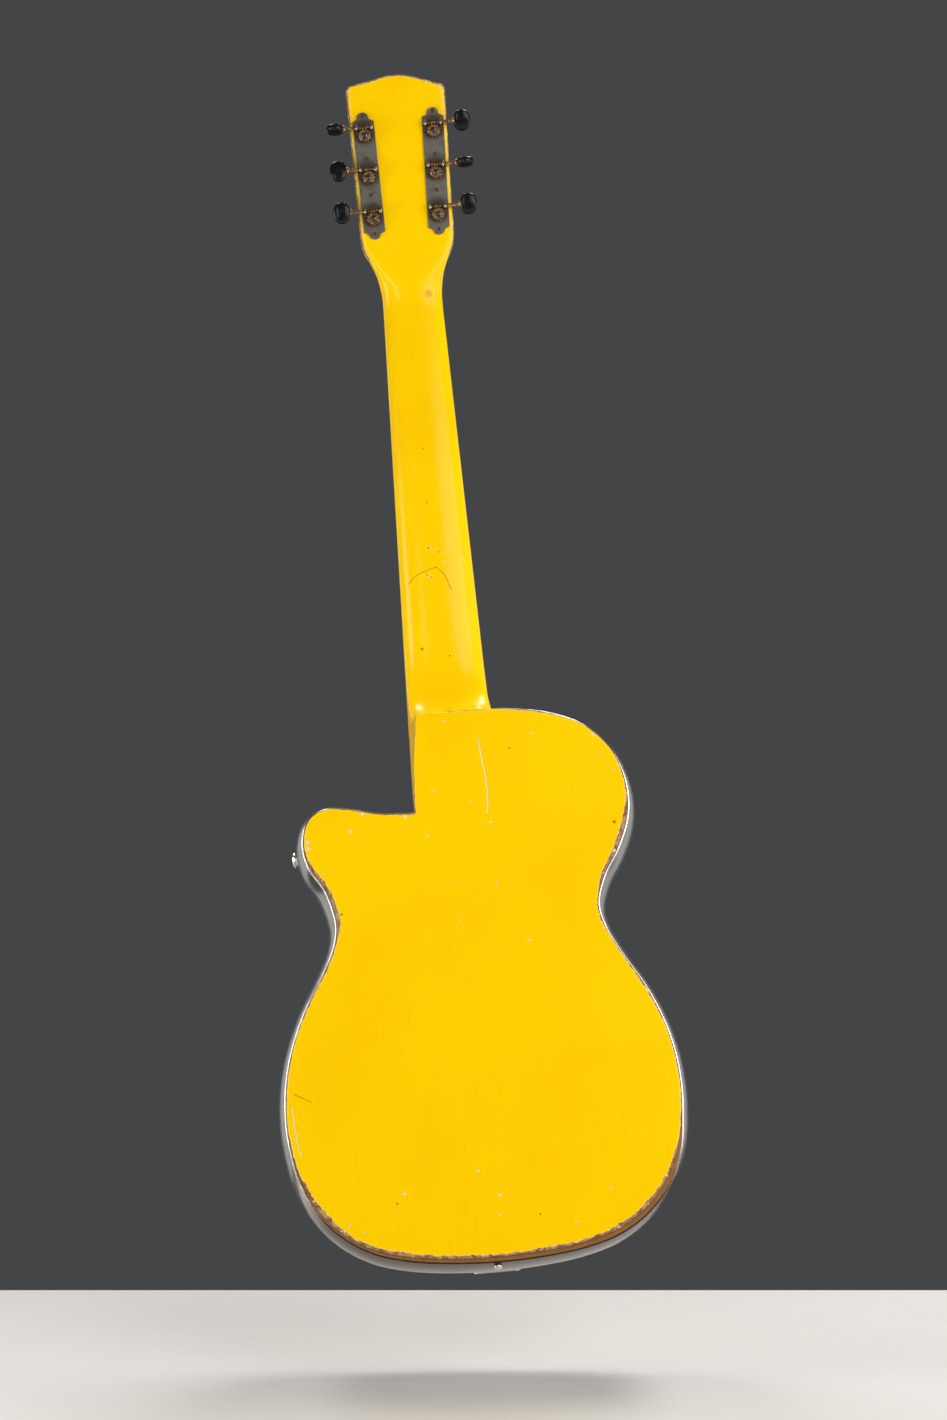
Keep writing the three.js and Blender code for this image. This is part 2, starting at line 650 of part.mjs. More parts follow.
// The plate's outline: straight sides, stepped shoulders and a round tab for a screw at each end.
function tunerPlateShape(side) {
  const [near, , far] = POST_ROWS;
  const lean = (h) => side * THREE.MathUtils.mapLinear(h, near.h, far.h, near.x, far.x);
  const at = (dx, h) => new THREE.Vector2(lean(h) + dx, h);
  const half = PLATE_HALF;
  const points = [at(half, 61.5), at(half, 156)];
  for (let i = 0; i <= 8; i += 1) {
    const a = (i / 8) * Math.PI;
    const tab = new THREE.Vector2(4.9 * Math.cos(a), 158.4 + 4.6 * Math.sin(a));
    points.push(at(tab.x, tab.y));
  }
  points.push(at(-half, 156), at(-half, 61.5));
  for (let i = 0; i <= 8; i += 1) {
    const a = Math.PI + (i / 8) * Math.PI;
    const tab = new THREE.Vector2(4.9 * Math.cos(a), 60.2 + 4.6 * Math.sin(a));
    points.push(at(tab.x, tab.y));
  }
  return new THREE.Shape(points);
}

// The plate with its three pairs of bearing lugs standing up from it.
function tunerPlate(side) {
  const plate = slab(tunerPlateShape(side), PLATE_T0, PLATE_T1);
  const lugs = [];
  const bores = [];
  for (const { x, h } of POST_ROWS) {
    const axisH = h + WORM_OFFSET;
    for (const dx of [-LUG_X, LUG_X]) {
      const lug = boxAt(-LUG_THICK / 2, LUG_THICK / 2, WORM_T - 2.9, PLATE_T1 - 0.5, -2.6, 2.6);
      lug.translate(side * x + dx, 0, axisH);
      lugs.push(lug);
    }
    const bore = new THREE.CylinderGeometry(SHAFT_RADIUS + 0.15, SHAFT_RADIUS + 0.15, 30, 12);
    bore.rotateZ(Math.PI / 2);
    bore.translate(side * x, WORM_T, axisH);
    bores.push(bore);
    const postHole = rodY(POST_RADIUS + GAP, -10, 10, 14);
    postHole.translate(side * x, 0, h);
    bores.push(postHole);
  }
  return cut(join(plate, lugs), bores);
}

// Worm and shaft in one: thin at the root of its thread between the lugs, thicker in the bearings.
function wormGeometry(side, x) {
  const inner = -LUG_X - 1.6;
  const outer = BUTTON_IN - GAP - x;
  const threadEnd = LUG_X - LUG_THICK / 2 - GAP;
  const g = revolve([[0, inner], [SHAFT_RADIUS, inner], [SHAFT_RADIUS, -threadEnd], [WORM_RADIUS, -threadEnd],
    [WORM_RADIUS, threadEnd], [SHAFT_RADIUS, threadEnd], [SHAFT_RADIUS, outer], [0, outer]], 12);
  g.rotateZ(-Math.PI / 2);
  if (side < 0) g.rotateY(Math.PI);
  return g;
}

// An oval button: flat on two faces, 18 across and 8 thick, with its long way across the shaft.
function buttonGeometry() {
  const g = new THREE.SphereGeometry(1, 14, 8);
  const position = g.attributes.position;
  const size = new THREE.Vector3(BUTTON_LENGTH / 2, 4, 9);
  const round = (value, power) => Math.sign(value) * Math.abs(value) ** power;
  for (let i = 0; i < position.count; i += 1) {
    const p = new THREE.Vector3().fromBufferAttribute(position, i);
    position.setXYZ(i, size.x * round(p.x, 0.8), size.y * round(p.y, 0.7), size.z * round(p.z, 0.95));
  }
  return g;
}

function gearGeometry() {
  const shape = new THREE.Shape();
  const steps = TEETH * 4;
  for (let i = 0; i < steps; i += 1) {
    const phase = i % 4;
    const radius = phase === 1 || phase === 2 ? GEAR_TIP : GEAR_ROOT;
    const angle = ((i - 1.5) / steps) * Math.PI * 2 + Math.PI / 2;
    const [x, z] = [radius * Math.cos(angle), radius * Math.sin(angle)];
    if (i === 0) shape.moveTo(x, z);
    else shape.lineTo(x, z);
  }
  shape.holes.push(circleHole(0, 0, GEAR_BORE + GAP, 12));
  return slab(shape, GEAR_T0, GEAR_T1, 6);
}

// A string post: thin where the gear sits on it, and waisted where the string winds round it.
function postGeometry() {
  const [foot, shoulder, top] = [GEAR_T0 - 0.4, PLATE_T0 - 0.2, HEAD_THICK + OVERLAY_THICK + GAP + 18];
  const waist = POST_RADIUS - 0.5;
  return revolve([[0, foot], [GEAR_BORE, foot], [GEAR_BORE, shoulder], [POST_RADIUS, shoulder],
    [POST_RADIUS, STRING_T - 3.5], [waist, STRING_T - 1.5], [waist, STRING_T + 3],
    [POST_RADIUS, STRING_T + 5], [POST_RADIUS, top - 0.8], [POST_RADIUS - 0.8, top], [0, top]], 12);
}

function bushingGeometry() {
  const face = HEAD_THICK + GAP + OVERLAY_THICK + GAP;
  const top = face + 1.2;
  const bore = POST_RADIUS + GAP;
  const sleeve = POST_HOLE - GAP;
  return revolve([[bore, 9], [sleeve, 9], [sleeve, face], [6.3, face], [6, top], [bore, top], [bore, 9]], 14);
}

// Each tuner's button is turned to the angle that it was left at, in degrees about its shaft.
const BUTTON_TURN = { '-1': [8, -12, 84], 1: [14, 88, 20] };

function addTuners(head) {
  for (const side of [-1, 1]) {
    const sideName = side < 0 ? 'treble' : 'bass';
    place(head, `tuner_plate_${sideName}`, tunerPlate(side), agedNickel);
  }
  forEachPost((side, row, { row: rowName, x, h }) => {
    const label = `${side < 0 ? 'treble' : 'bass'}_${rowName}`;
    const worm = place(head, `worm_shaft_${label}`, wormGeometry(side, x), copper);
    worm.position.set(side * x, WORM_T, h + WORM_OFFSET);
    const button = place(head, `button_${label}`, buttonGeometry(), blackPlastic);
    button.position.set(side * (BUTTON_IN + BUTTON_LENGTH / 2 + 0.2), WORM_T, h + WORM_OFFSET);
    button.rotation.x = THREE.MathUtils.degToRad(BUTTON_TURN[side][row]);
    place(head, `gear_${label}`, gearGeometry(), copper).position.set(side * x, 0, h);
    place(head, `post_${label}`, postGeometry(), agedNickel).position.set(side * x, 0, h);
    place(head, `bushing_${label}`, bushingGeometry(), agedNickel).position.set(side * x, 0, h);
  });
}

// ---------------------------------------------------------------- strings
// From the ball end behind the tailpiece's lip, over saddle and nut, to the inner side of a post.
function stringGeometry(index) {
  const { radius, side, row } = STRINGS[index];
  const post = POST_ROWS[row];
  const tangent = side * (post.x - POST_RADIUS - GAP - radius);
  const end = new THREE.Vector3(tangent, STRING_T, post.h).applyMatrix4(headMatrix());
  const tailX = stringX(index, TAIL_SPACING);
  const ball = 1.6;
  const knots = [
    { at: new THREE.Vector3(tailX, TAIL_STRING_Y, TAIL_LIP_Z - 5.2), r: ball },
    { at: new THREE.Vector3(tailX, TAIL_STRING_Y, TAIL_LIP_Z - 2.4), r: ball },
    { at: new THREE.Vector3(tailX, TAIL_STRING_Y, TAIL_LIP_Z - 2.2), r: radius },
    { at: new THREE.Vector3(stringX(index, SADDLE_SPACING), SADDLE_STRING_Y + radius, SADDLE_Z), r: radius },
    { at: new THREE.Vector3(stringX(index, NUT_SPACING), NUT_STRING_Y, NUT_Z), r: radius },
    { at: new THREE.Vector3(stringX(index, NUT_SPACING), NUT_STRING_Y - 0.05, NUT_Z + NUT_THICK), r: radius },
    { at: end, r: radius },
  ];
  const rings = knots.map(({ at, r }) => {
    const ring = [];
    for (let i = 0; i < 6; i += 1) {
      const angle = (i / 6) * Math.PI * 2;
      ring.push(new THREE.Vector3(at.x + r * Math.cos(angle), at.y + r * Math.sin(angle), at.z));
    }
    return ring;
  });
  return loft(rings, (p) => new THREE.Vector2(p.x, p.y));
}

// ---------------------------------------------------------------- assembly
const guitar = new THREE.Group();
const body = new THREE.Group();
body.position.set(0, -PIN_Y, -PIN_END_Z);
guitar.add(body);

place(body, 'back_plate', backPlate(), paint);
place(body, 'rim', rim(), polished);
place(body, 'top_plate', topPlate(), paint);
place(body, 'neck_block', neckBlockShape(0), paint);
place(body, 'tail_block', tailBlock(), bareWood);
place(body, 'neck_stick', neckStick(), bareWood);
place(body, 'soundwell', soundwell(), bareWood);
place(body, 'resonator_cone', resonatorCone(), spun);
place(body, 'biscuit', biscuit(), bareWood);
place(body, 'saddle', saddle(), bone);
place(body, 'coverplate', coverplate(), polished);
place(body, 'palm_rest', palmRest(), polished);
place(body, 'screen_bass', screen(SCREEN_X), polished);
place(body, 'screen_treble', screen(-SCREEN_X), polished);
place(body, 'tailpiece', tailpiece(), polished);
place(body, 'end_pin', endPin(), polished);
place(body, 'strap_stud', strapStud(), polished);
place(body, 'neck', neck(), paint);
place(body, 'fingerboard', fingerboard(), darkWood);
place(body, 'nut', nut(), bone);
STRINGS.forEach((spec, i) => place(body, `string_${i + 1}`, stringGeometry(i), stringMetal));

const head = new THREE.Group();
head.position.set(0, HEAD_BASE_Y, HEAD_BASE_Z);
head.rotation.x = HEAD_PITCH;
body.add(head);
place(head, 'head_overlay', headOverlay(), blackLacquer);
addTuners(head);

export default guitar;
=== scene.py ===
"""Looks of a single-cutaway resonator guitar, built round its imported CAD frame.

Shapes are drawn in the guitar's body coordinates, in millimetres: x to the bass side, y from the
back (0) to the front, and z up from the tail edge of the back plate (0). to_row() turns them into
the row frame, in metres. Shapes on the headstock are drawn in its own axes: x, t from its back
towards the front, and h up its back surface.
"""

import math

import bmesh
import bpy
from mathutils import Matrix, Vector, geometry


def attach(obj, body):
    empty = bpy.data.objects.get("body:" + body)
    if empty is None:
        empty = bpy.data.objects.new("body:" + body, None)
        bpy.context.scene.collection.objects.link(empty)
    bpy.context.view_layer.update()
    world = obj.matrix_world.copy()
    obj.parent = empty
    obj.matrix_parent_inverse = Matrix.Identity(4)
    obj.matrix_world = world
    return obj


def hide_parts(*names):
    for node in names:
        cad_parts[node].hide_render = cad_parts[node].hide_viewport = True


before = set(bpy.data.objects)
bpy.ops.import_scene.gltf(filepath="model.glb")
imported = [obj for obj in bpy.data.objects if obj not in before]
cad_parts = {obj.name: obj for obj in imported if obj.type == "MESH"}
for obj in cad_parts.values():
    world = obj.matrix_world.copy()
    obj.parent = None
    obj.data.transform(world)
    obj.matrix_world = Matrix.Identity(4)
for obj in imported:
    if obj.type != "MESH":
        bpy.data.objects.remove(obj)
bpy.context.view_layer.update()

MM = 0.001
QUARTER = math.pi / 2

# ------------------------------------------------------------------ sizes, as in the CAD source
PIN_Y = 10
PIN_REACH = 13.8
PIN_BALL_Z = -11.4
PIN_BALL = 3.2
PIN_NECK = 2.4

BODY_DEPTH = 80
PLATE = 4
GAP = 0.3
RIM_BULGE = 7
RIM_WALL = 1.2
RIM_START = (37.5, 419.2)
CUTAWAY_CORNER = (-34, 340)
TAIL_EDGE_Z = -5.5
HEEL_MID_Z = 380
HEEL_Z = 420
HEEL_WALL_BACK = {"top": -27, "mid": -31.6}
HEEL_WALL_FRONT = {"top": -33.2, "mid": -34.2}

SCALE_LENGTH = 647.7
NUT_Z = 795
SADDLE_Z = NUT_Z - SCALE_LENGTH
FRET_COUNT = 20
DOTTED_FRETS = (3, 5, 7, 9, 12, 15, 17, 19)
BOARD_END_Z = 345
BOARD_THICK = 5.7
BOARD_FACE_Y = BODY_DEPTH + GAP + BOARD_THICK
NUT_HALF_WIDTH = 25
TAPER = (33.2 - NUT_HALF_WIDTH) / (NUT_Z - 436)
HEEL_TOP_Z = 466
DEPTH_AT_NUT = 15
DEPTH_AT_HEEL = 19

HEAD_PITCH = math.radians(13)
HEAD_THICK = 13.5
OVERLAY_THICK = 1.5
HEAD = Matrix.Translation((0, 66, 790)) @ Matrix.Rotation(HEAD_PITCH, 4, "X")

CONE_Z = SADDLE_Z
COVER_RADIUS = 134
COVER_CROWN_Y = 88.2
SEAT_Y = BODY_DEPTH + 0.1  # what lies on the top plate starts here
WELL_RADIUS = 127
CONE_RADIUS = 120.5
SCREEN_X = 72
SCREEN_Z = 303
SCREEN_HOLE = 21

POSTS = {"near": (27.3, 72.3), "mid": (28.4, 107.5), "far": (29.0, 142.7)}
ROWS = ("near", "mid", "far")
POST_RADIUS = 3
STRING_T = 22
TEETH = 14
GEAR_TIP = 5.75
GEAR_ROOT = 4.7
WORM_OFFSET = 7
PLATE_T1 = -GAP
PLATE_T0 = PLATE_T1 - 1.2
GEAR_T1 = PLATE_T0 - 0.6
GEAR_T0 = GEAR_T1 - 3
WORM_T = (GEAR_T0 + GEAR_T1) / 2
LUG_X = 6.4
LUG_THICK = 1.5
SHAFT_RADIUS = 1.5
BUTTON_IN = 45.5
BUTTON_SIZE = (14.8, 8, 18)
BUTTON_TURN = {"treble": (8, -12, 84), "bass": (14, 88, 20)}

NUT_SPACING = 8.5  # between strings
SADDLE_SPACING = 10.4
TAIL_SPACING = 9
NUT_STRING_Y = BOARD_FACE_Y + 1.6
SADDLE_STRING_Y = 92.4
TAIL_STRING_Y = 89.4
TAIL_LIP_Z = 41
STRINGS = (  # radius, side and row of the post
    (0.18, "treble", "near"), (0.23, "treble", "mid"), (0.31, "treble", "far"),
    (0.41, "bass", "far"), (0.53, "bass", "mid"), (0.67, "bass", "near"),
)
MIDDLE_STRING = (len(STRINGS) - 1) / 2
SIGN = {"treble": -1, "bass": 1}  # of x on each side

# ------------------------------------------------------------------ camera and floor
# The guitar leans away from an upright camera. Its tail edge is given from the camera, in metres:
# to the right, ahead and up.
CAMERA_LENS = 74.8
CAMERA_SENSOR = 36
GUITAR_LEAN = math.radians(14)
GUITAR_ROLL = math.radians(4.72)
GUITAR_YAW = math.radians(1.5)
TAIL_FROM_CAMERA = Vector((0.01765, 2.216, -0.4169))
TAIL_IN_ROW = Vector((-0.00096, -0.01, 0.00296))

TO_VIEW = (Matrix.Rotation(-GUITAR_ROLL, 3, "Y")
           @ Matrix.Rotation(GUITAR_YAW, 3, "Z") @ Matrix.Rotation(-GUITAR_LEAN, 3, "X"))
TO_ROW = TO_VIEW.transposed()


def from_camera(right, ahead, up):
    """A point given from the camera, in the row frame."""
    return TO_ROW @ (Vector((right, ahead, up)) - TAIL_FROM_CAMERA) + TAIL_IN_ROW


def linked(name, data):
    """A new object in the scene."""
    made = bpy.data.objects.new(name, data)
    bpy.context.scene.collection.objects.link(made)
    return made


def add_camera():
    data = bpy.data.cameras.new("camera")
    data.lens = CAMERA_LENS
    data.sensor_width = CAMERA_SENSOR
    camera = linked("camera", data)
    looking = Matrix.Rotation(QUARTER, 3, "X")
    camera.matrix_world = Matrix.Translation(from_camera(0, 0, 0)) @ (TO_ROW @ looking).to_4x4()
    bpy.context.scene.camera = camera
    return camera


camera = add_camera()


def floor_height():
    """How far the guitar's lowest point reaches below the origin, along the camera's upright."""
    up = TO_ROW @ Vector((0, 0, 1))
    return min(v.co.dot(up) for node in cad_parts.values() for v in node.data.vertices)


# ------------------------------------------------------------------ building meshes
def to_row(point):
    x, y, z = point
    return Vector((x, y - PIN_Y, z + PIN_REACH)) * MM


def lerp(a, b, share):
    return a + (b - a) * share


def smooth_step(a, b, value):
    share = min(max((value - a) / (b - a), 0), 1)
    return share * share * (3 - 2 * share)


def placed(part, matrix):
    verts, faces = part
    return [matrix @ Vector(v) for v in verts], faces


def merged(parts):
    """Several (vertices, faces) parts as one."""
    verts, faces = [], []
    for part_verts, part_faces in parts:
        start = len(verts)
        verts.extend(part_verts)
        faces.extend([start + i for i in face] for face in part_faces)
    return verts, faces


def skin(rings, caps=True, loop=False):
    """A surface through closed rings of equal length. loop joins the last ring to the first."""
    count = len(rings[0])
    verts = [p for ring in rings for p in ring]
    faces = []
    for i in range(len(rings) if loop else len(rings) - 1):
        a, b = i * count, ((i + 1) % len(rings)) * count
        for j in range(count):
            k = (j + 1) % count
            faces.append((a + j, a + k, b + k, b + j))
    if caps and not loop:
        faces.append(list(range(count))[::-1])
        faces.append([(len(rings) - 1) * count + j for j in range(count)])
    return verts, faces


def lathe(profile, segments=48):
    """A surface of revolution about z from [radius, z] pairs. It closes on the axis or on itself."""
    rings = []
    for step in range(segments):
        angle = 2 * math.pi * step / segments
        rings.append([(r * math.cos(angle), r * math.sin(angle), z) for r, z in profile])
    verts, faces = skin(rings, caps=False, loop=True)
    on_axis = profile[0][0] == 0
    if on_axis:  # the quads between the profile's two ends would lie on the axis
        last = len(profile) - 1
        faces = [f for f in faces if not {f[0] % len(profile), f[1] % len(profile)} == {0, last}]
    return verts, faces


def block(x0, x1, y0, y1, z0, z1):
    verts = [(x, y, z) for z in (z0, z1) for x, y in ((x0, y0), (x1, y0), (x1, y1), (x0, y1))]
    return verts, [(0, 3, 2, 1), (4, 5, 6, 7), (0, 1, 5, 4), (1, 2, 6, 5), (2, 3, 7, 6), (3, 0, 4, 7)]


def tube(path, radius, sides=10):
    """A round rod along a list of points. radius is one number or one for each point."""
    rings = []
    radii = radius if isinstance(radius, list) else [radius] * len(path)
    points = [Vector(p) for p in path]
    side = None
    for i, point in enumerate(points):
        along = (points[min(i + 1, len(points) - 1)] - points[max(i - 1, 0)]).normalized()
        if side is None:
            side = along.orthogonal().normalized()
        side = (side - along * side.dot(along)).normalized()
        up = along.cross(side)
        turns = [2 * math.pi * k / sides for k in range(sides)]
        rings.append([point + (side * math.cos(a) + up * math.sin(a)) * radii[i] for a in turns])
    return skin(rings)


def row_mesh(name, part, edge=None, weld=False):
    """A part as a mesh in the row frame, with its faces turned outwards."""
    verts, faces = part
    mesh = bpy.data.meshes.new(name)
    mesh.from_pydata([to_row(v) for v in verts], [], faces)
    if edge:
        mesh.attributes.new("edge", "FLOAT", "POINT").data.foreach_set("value", edge)
    work = bmesh.new()
    work.from_mesh(mesh)
    if weld:
        bmesh.ops.remove_doubles(work, verts=work.verts, dist=1e-6)
    bmesh.ops.recalc_face_normals(work, faces=work.faces)
    work.to_mesh(mesh)
    work.free()
    return mesh


def new_piece(name, part, material, body="root", replaces=(), sharp=38, edge=None):
    """A finished mesh that rides on a body and stands for the CAD nodes it replaces."""
    mesh = row_mesh(name, part, edge, weld=True)
    mesh.materials.append(material)
    mesh.shade_smooth()
    mesh.set_sharp_from_angle(angle=math.radians(sharp))
    piece = linked(name, mesh)
    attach(piece, body)
    if replaces:
        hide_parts(*replaces)
    return piece


def apply_modifiers(piece):
    graph = bpy.context.evaluated_depsgraph_get()
    mesh = bpy.data.meshes.new_from_object(piece.evaluated_get(graph))
    piece.modifiers.clear()
    piece.data = mesh


def rounded(piece, width, segments=2, angle=32):
    """Breaks a piece's sharp edges with a small round. width is in millimetres."""
    bevel = piece.modifiers.new("round", "BEVEL")
    bevel.width = width * MM
    bevel.segments = segments
    bevel.limit_method = "ANGLE"
    bevel.angle_limit = math.radians(angle)
    bevel.harden_normals = True
    apply_modifiers(piece)
    return piece


def carved(piece, parts, sharp=38):
    """A piece with closed parts cut away from it."""
    cutter = linked("cutter", row_mesh("cutter", merged(parts)))
    cut = piece.modifiers.new("cut", "BOOLEAN")
    cut.operation = "DIFFERENCE"
    cut.solver = "EXACT"
    cut.use_self = True
    cut.object = cutter
    apply_modifiers(piece)
    bpy.data.objects.remove(cutter)
    piece.data.set_sharp_from_angle(angle=math.radians(sharp))
    return piece


# Where a part drawn about its own z axis is put: facing the front, the back, or along x.
TO_FRONT = Matrix.Rotation(-QUARTER, 4, "X")
TO_BACK = Matrix.Rotation(QUARTER, 4, "X")
TO_BASS = Matrix.Rotation(QUARTER, 4, "Y")


def at(x, y, z, turn=None):
    place = Matrix.Translation((x, y, z))
    return place @ turn if turn else place


ON_CONE = at(0, 0, CONE_Z, TO_FRONT)


# ------------------------------------------------------------------ outlines
LOWER_BOUT = [
    (35.5, -4), (66, 0), (92, 7.5), (115, 21.7), (133.4, 42.6), (144.3, 66), (149.6, 90.7), (151, 111),
    (149.1, 137), (142.7, 163.5), (131.1, 191.5), (115.7, 218), (105, 240), (101.7, 258),
]
BASS_SHOULDER = [
    (107.9, 278.3), (121.1, 300.2), (131.3, 326.5), (131.8, 353.4), (122.5, 379.9), (102.1, 401.1),
    (76, 412.6), (52, 417.3),
]
TREBLE_HORN = [
    (-108.2, 285), (-120, 305.8), (-122.8, 326), (-116.8, 342.3), (-104, 349.2), (-88, 348.2), (-64, 342.5),
]


def smooth_curve(points, per_span):
    """A centripetal Catmull-Rom curve through 2-D points."""
    knots = [Vector(p) for p in points]
    knots = [knots[0] * 2 - knots[1], *knots, knots[-1] * 2 - knots[-2]]
    curve = []
    for p0, p1, p2, p3 in zip(knots, knots[1:], knots[2:], knots[3:]):
        d0, d1, d2 = ((b - a).length ** 0.5 for a, b in ((p0, p1), (p1, p2), (p2, p3)))
        start = ((p1 - p0) / d0 - (p2 - p0) / (d0 + d1) + (p2 - p1) / d1) * d1
        end = ((p2 - p1) / d1 - (p3 - p1) / (d1 + d2) + (p3 - p2) / d2) * d1
        for step in range(per_span):
            t = step / per_span
            curve.append(p1 + start * t + (-3 * p1 + 3 * p2 - 2 * start - end) * t ** 2
                         + (2 * p1 - 2 * p2 + start + end) * t ** 3)
    return curve + [knots[-2]]


def evenly(points, count):
    """The same line with its points at equal steps."""
    reach = [0.0]
    for a, b in zip(points, points[1:]):
        reach.append(reach[-1] + (b - a).length)
    even, span = [], 0
    for step in range(count + 1):
        goal = reach[-1] * step / count
        while span < len(points) - 2 and reach[span + 1] < goal:
            span += 1
        share = (goal - reach[span]) / (reach[span + 1] - reach[span])
        even.append(points[span].lerp(points[span + 1], share))
    return even


RIM_STEPS = 460
RIM_LINE = evenly(smooth_curve(
    [RIM_START, *reversed(BASS_SHOULDER), *reversed(LOWER_BOUT), (0, TAIL_EDGE_Z),
     *[(-x, z) for x, z in LOWER_BOUT], *TREBLE_HORN, CUTAWAY_CORNER], 24), RIM_STEPS)


def body_outline(wall):
    """The body's edge with the heel wall's corners, clockwise as seen from the back."""
    return RIM_LINE + [Vector((wall["mid"], HEEL_MID_Z)), Vector((wall["top"], HEEL_Z))]


def inset(outline, distance):
    """A closed clockwise outline moved inwards, with its corners kept."""
    moved = []
    for before, here, after in zip(outline[-1:] + outline[:-1], outline, outline[1:] + outline[:1]):
        a, b = (here - before).normalized(), (after - here).normalized()
        normals = Vector((a.y, -a.x)), Vector((b.y, -b.x))
        middle = normals[0] + normals[1]
        moved.append(here + middle * (distance / max(1 + normals[0].dot(normals[1]), 0.5)))
    return moved


def circle(x, z, radius, count):
    turns = [2 * math.pi * i / count for i in range(count)]
    return [Vector((x + radius * math.cos(a), z + radius * math.sin(a))) for a in turns]


def inside(point, loop):
    """True where a point is inside a closed loop."""
    crossings = 0
    for a, b in zip(loop, loop[1:] + loop[:1]):
        if (a.y > point.y) != (b.y > point.y):
            crossings += point.x < a.x + (point.y - a.y) * (b.x - a.x) / (b.y - a.y)
    return crossings % 2 == 1


def filled(loops):
    """Triangles that fill the first loop outside the other loops."""
    points = [p for loop in loops for p in loop]
    lines, start = [], 0
    for loop in loops:
        count = len(loop)
        lines.extend((start + i, start + (i + 1) % count) for i in range(count))
        start += count
    verts, _, faces, *_ = geometry.delaunay_2d_cdt(points, lines, [], 2, 1e-5)
    kept = []
    for face in faces:
        middle = sum((verts[i] for i in face), Vector((0, 0))) / len(face)
        if not any(inside(middle, hole) for hole in loops[1:]):
            kept.append(face)
    return verts, kept


def flat_plate(outline, face_y, inner_y, edge_radius, holes=()):
    """A plate with its outer edge rounded towards face_y, and each point's place from that edge.

    The place is the distance in from the edge on the face, and is negative on the side wall.
    """
    inwards = 1 if inner_y > face_y else -1
    rows = [(12, 0), (8, 0), (5, 0), (3, 0), (2, 0)]
    for step in range(6):
        angle = QUARTER * step / 5
        rows.append((edge_radius * (1 - math.sin(angle)), edge_radius * (1 - math.cos(angle))))
    rows.append((0, abs(inner_y - face_y)))
    rings = [[(p.x, face_y + inwards * deep, p.y) for p in inset(outline, inner)]
             for inner, deep in rows]
    edge = [inner - deep for inner, deep in rows for _ in outline]
    parts = [skin(rings, caps=False)]
    for ring, y in ((inset(outline, rows[0][0]), face_y), (outline, inner_y)):
        verts, faces = filled([ring, *holes])
        parts.append(([(p.x, y, p.y) for p in verts], faces))
        edge += [rows[0][0] if y == face_y else -PLATE] * len(verts)
    for hole in holes:
        parts.append(skin([[(p.x, y, p.y) for p in hole] for y in (face_y, inner_y)], caps=False))
        edge += [rows[0][0]] * (2 * len(hole))
    return merged(parts), edge


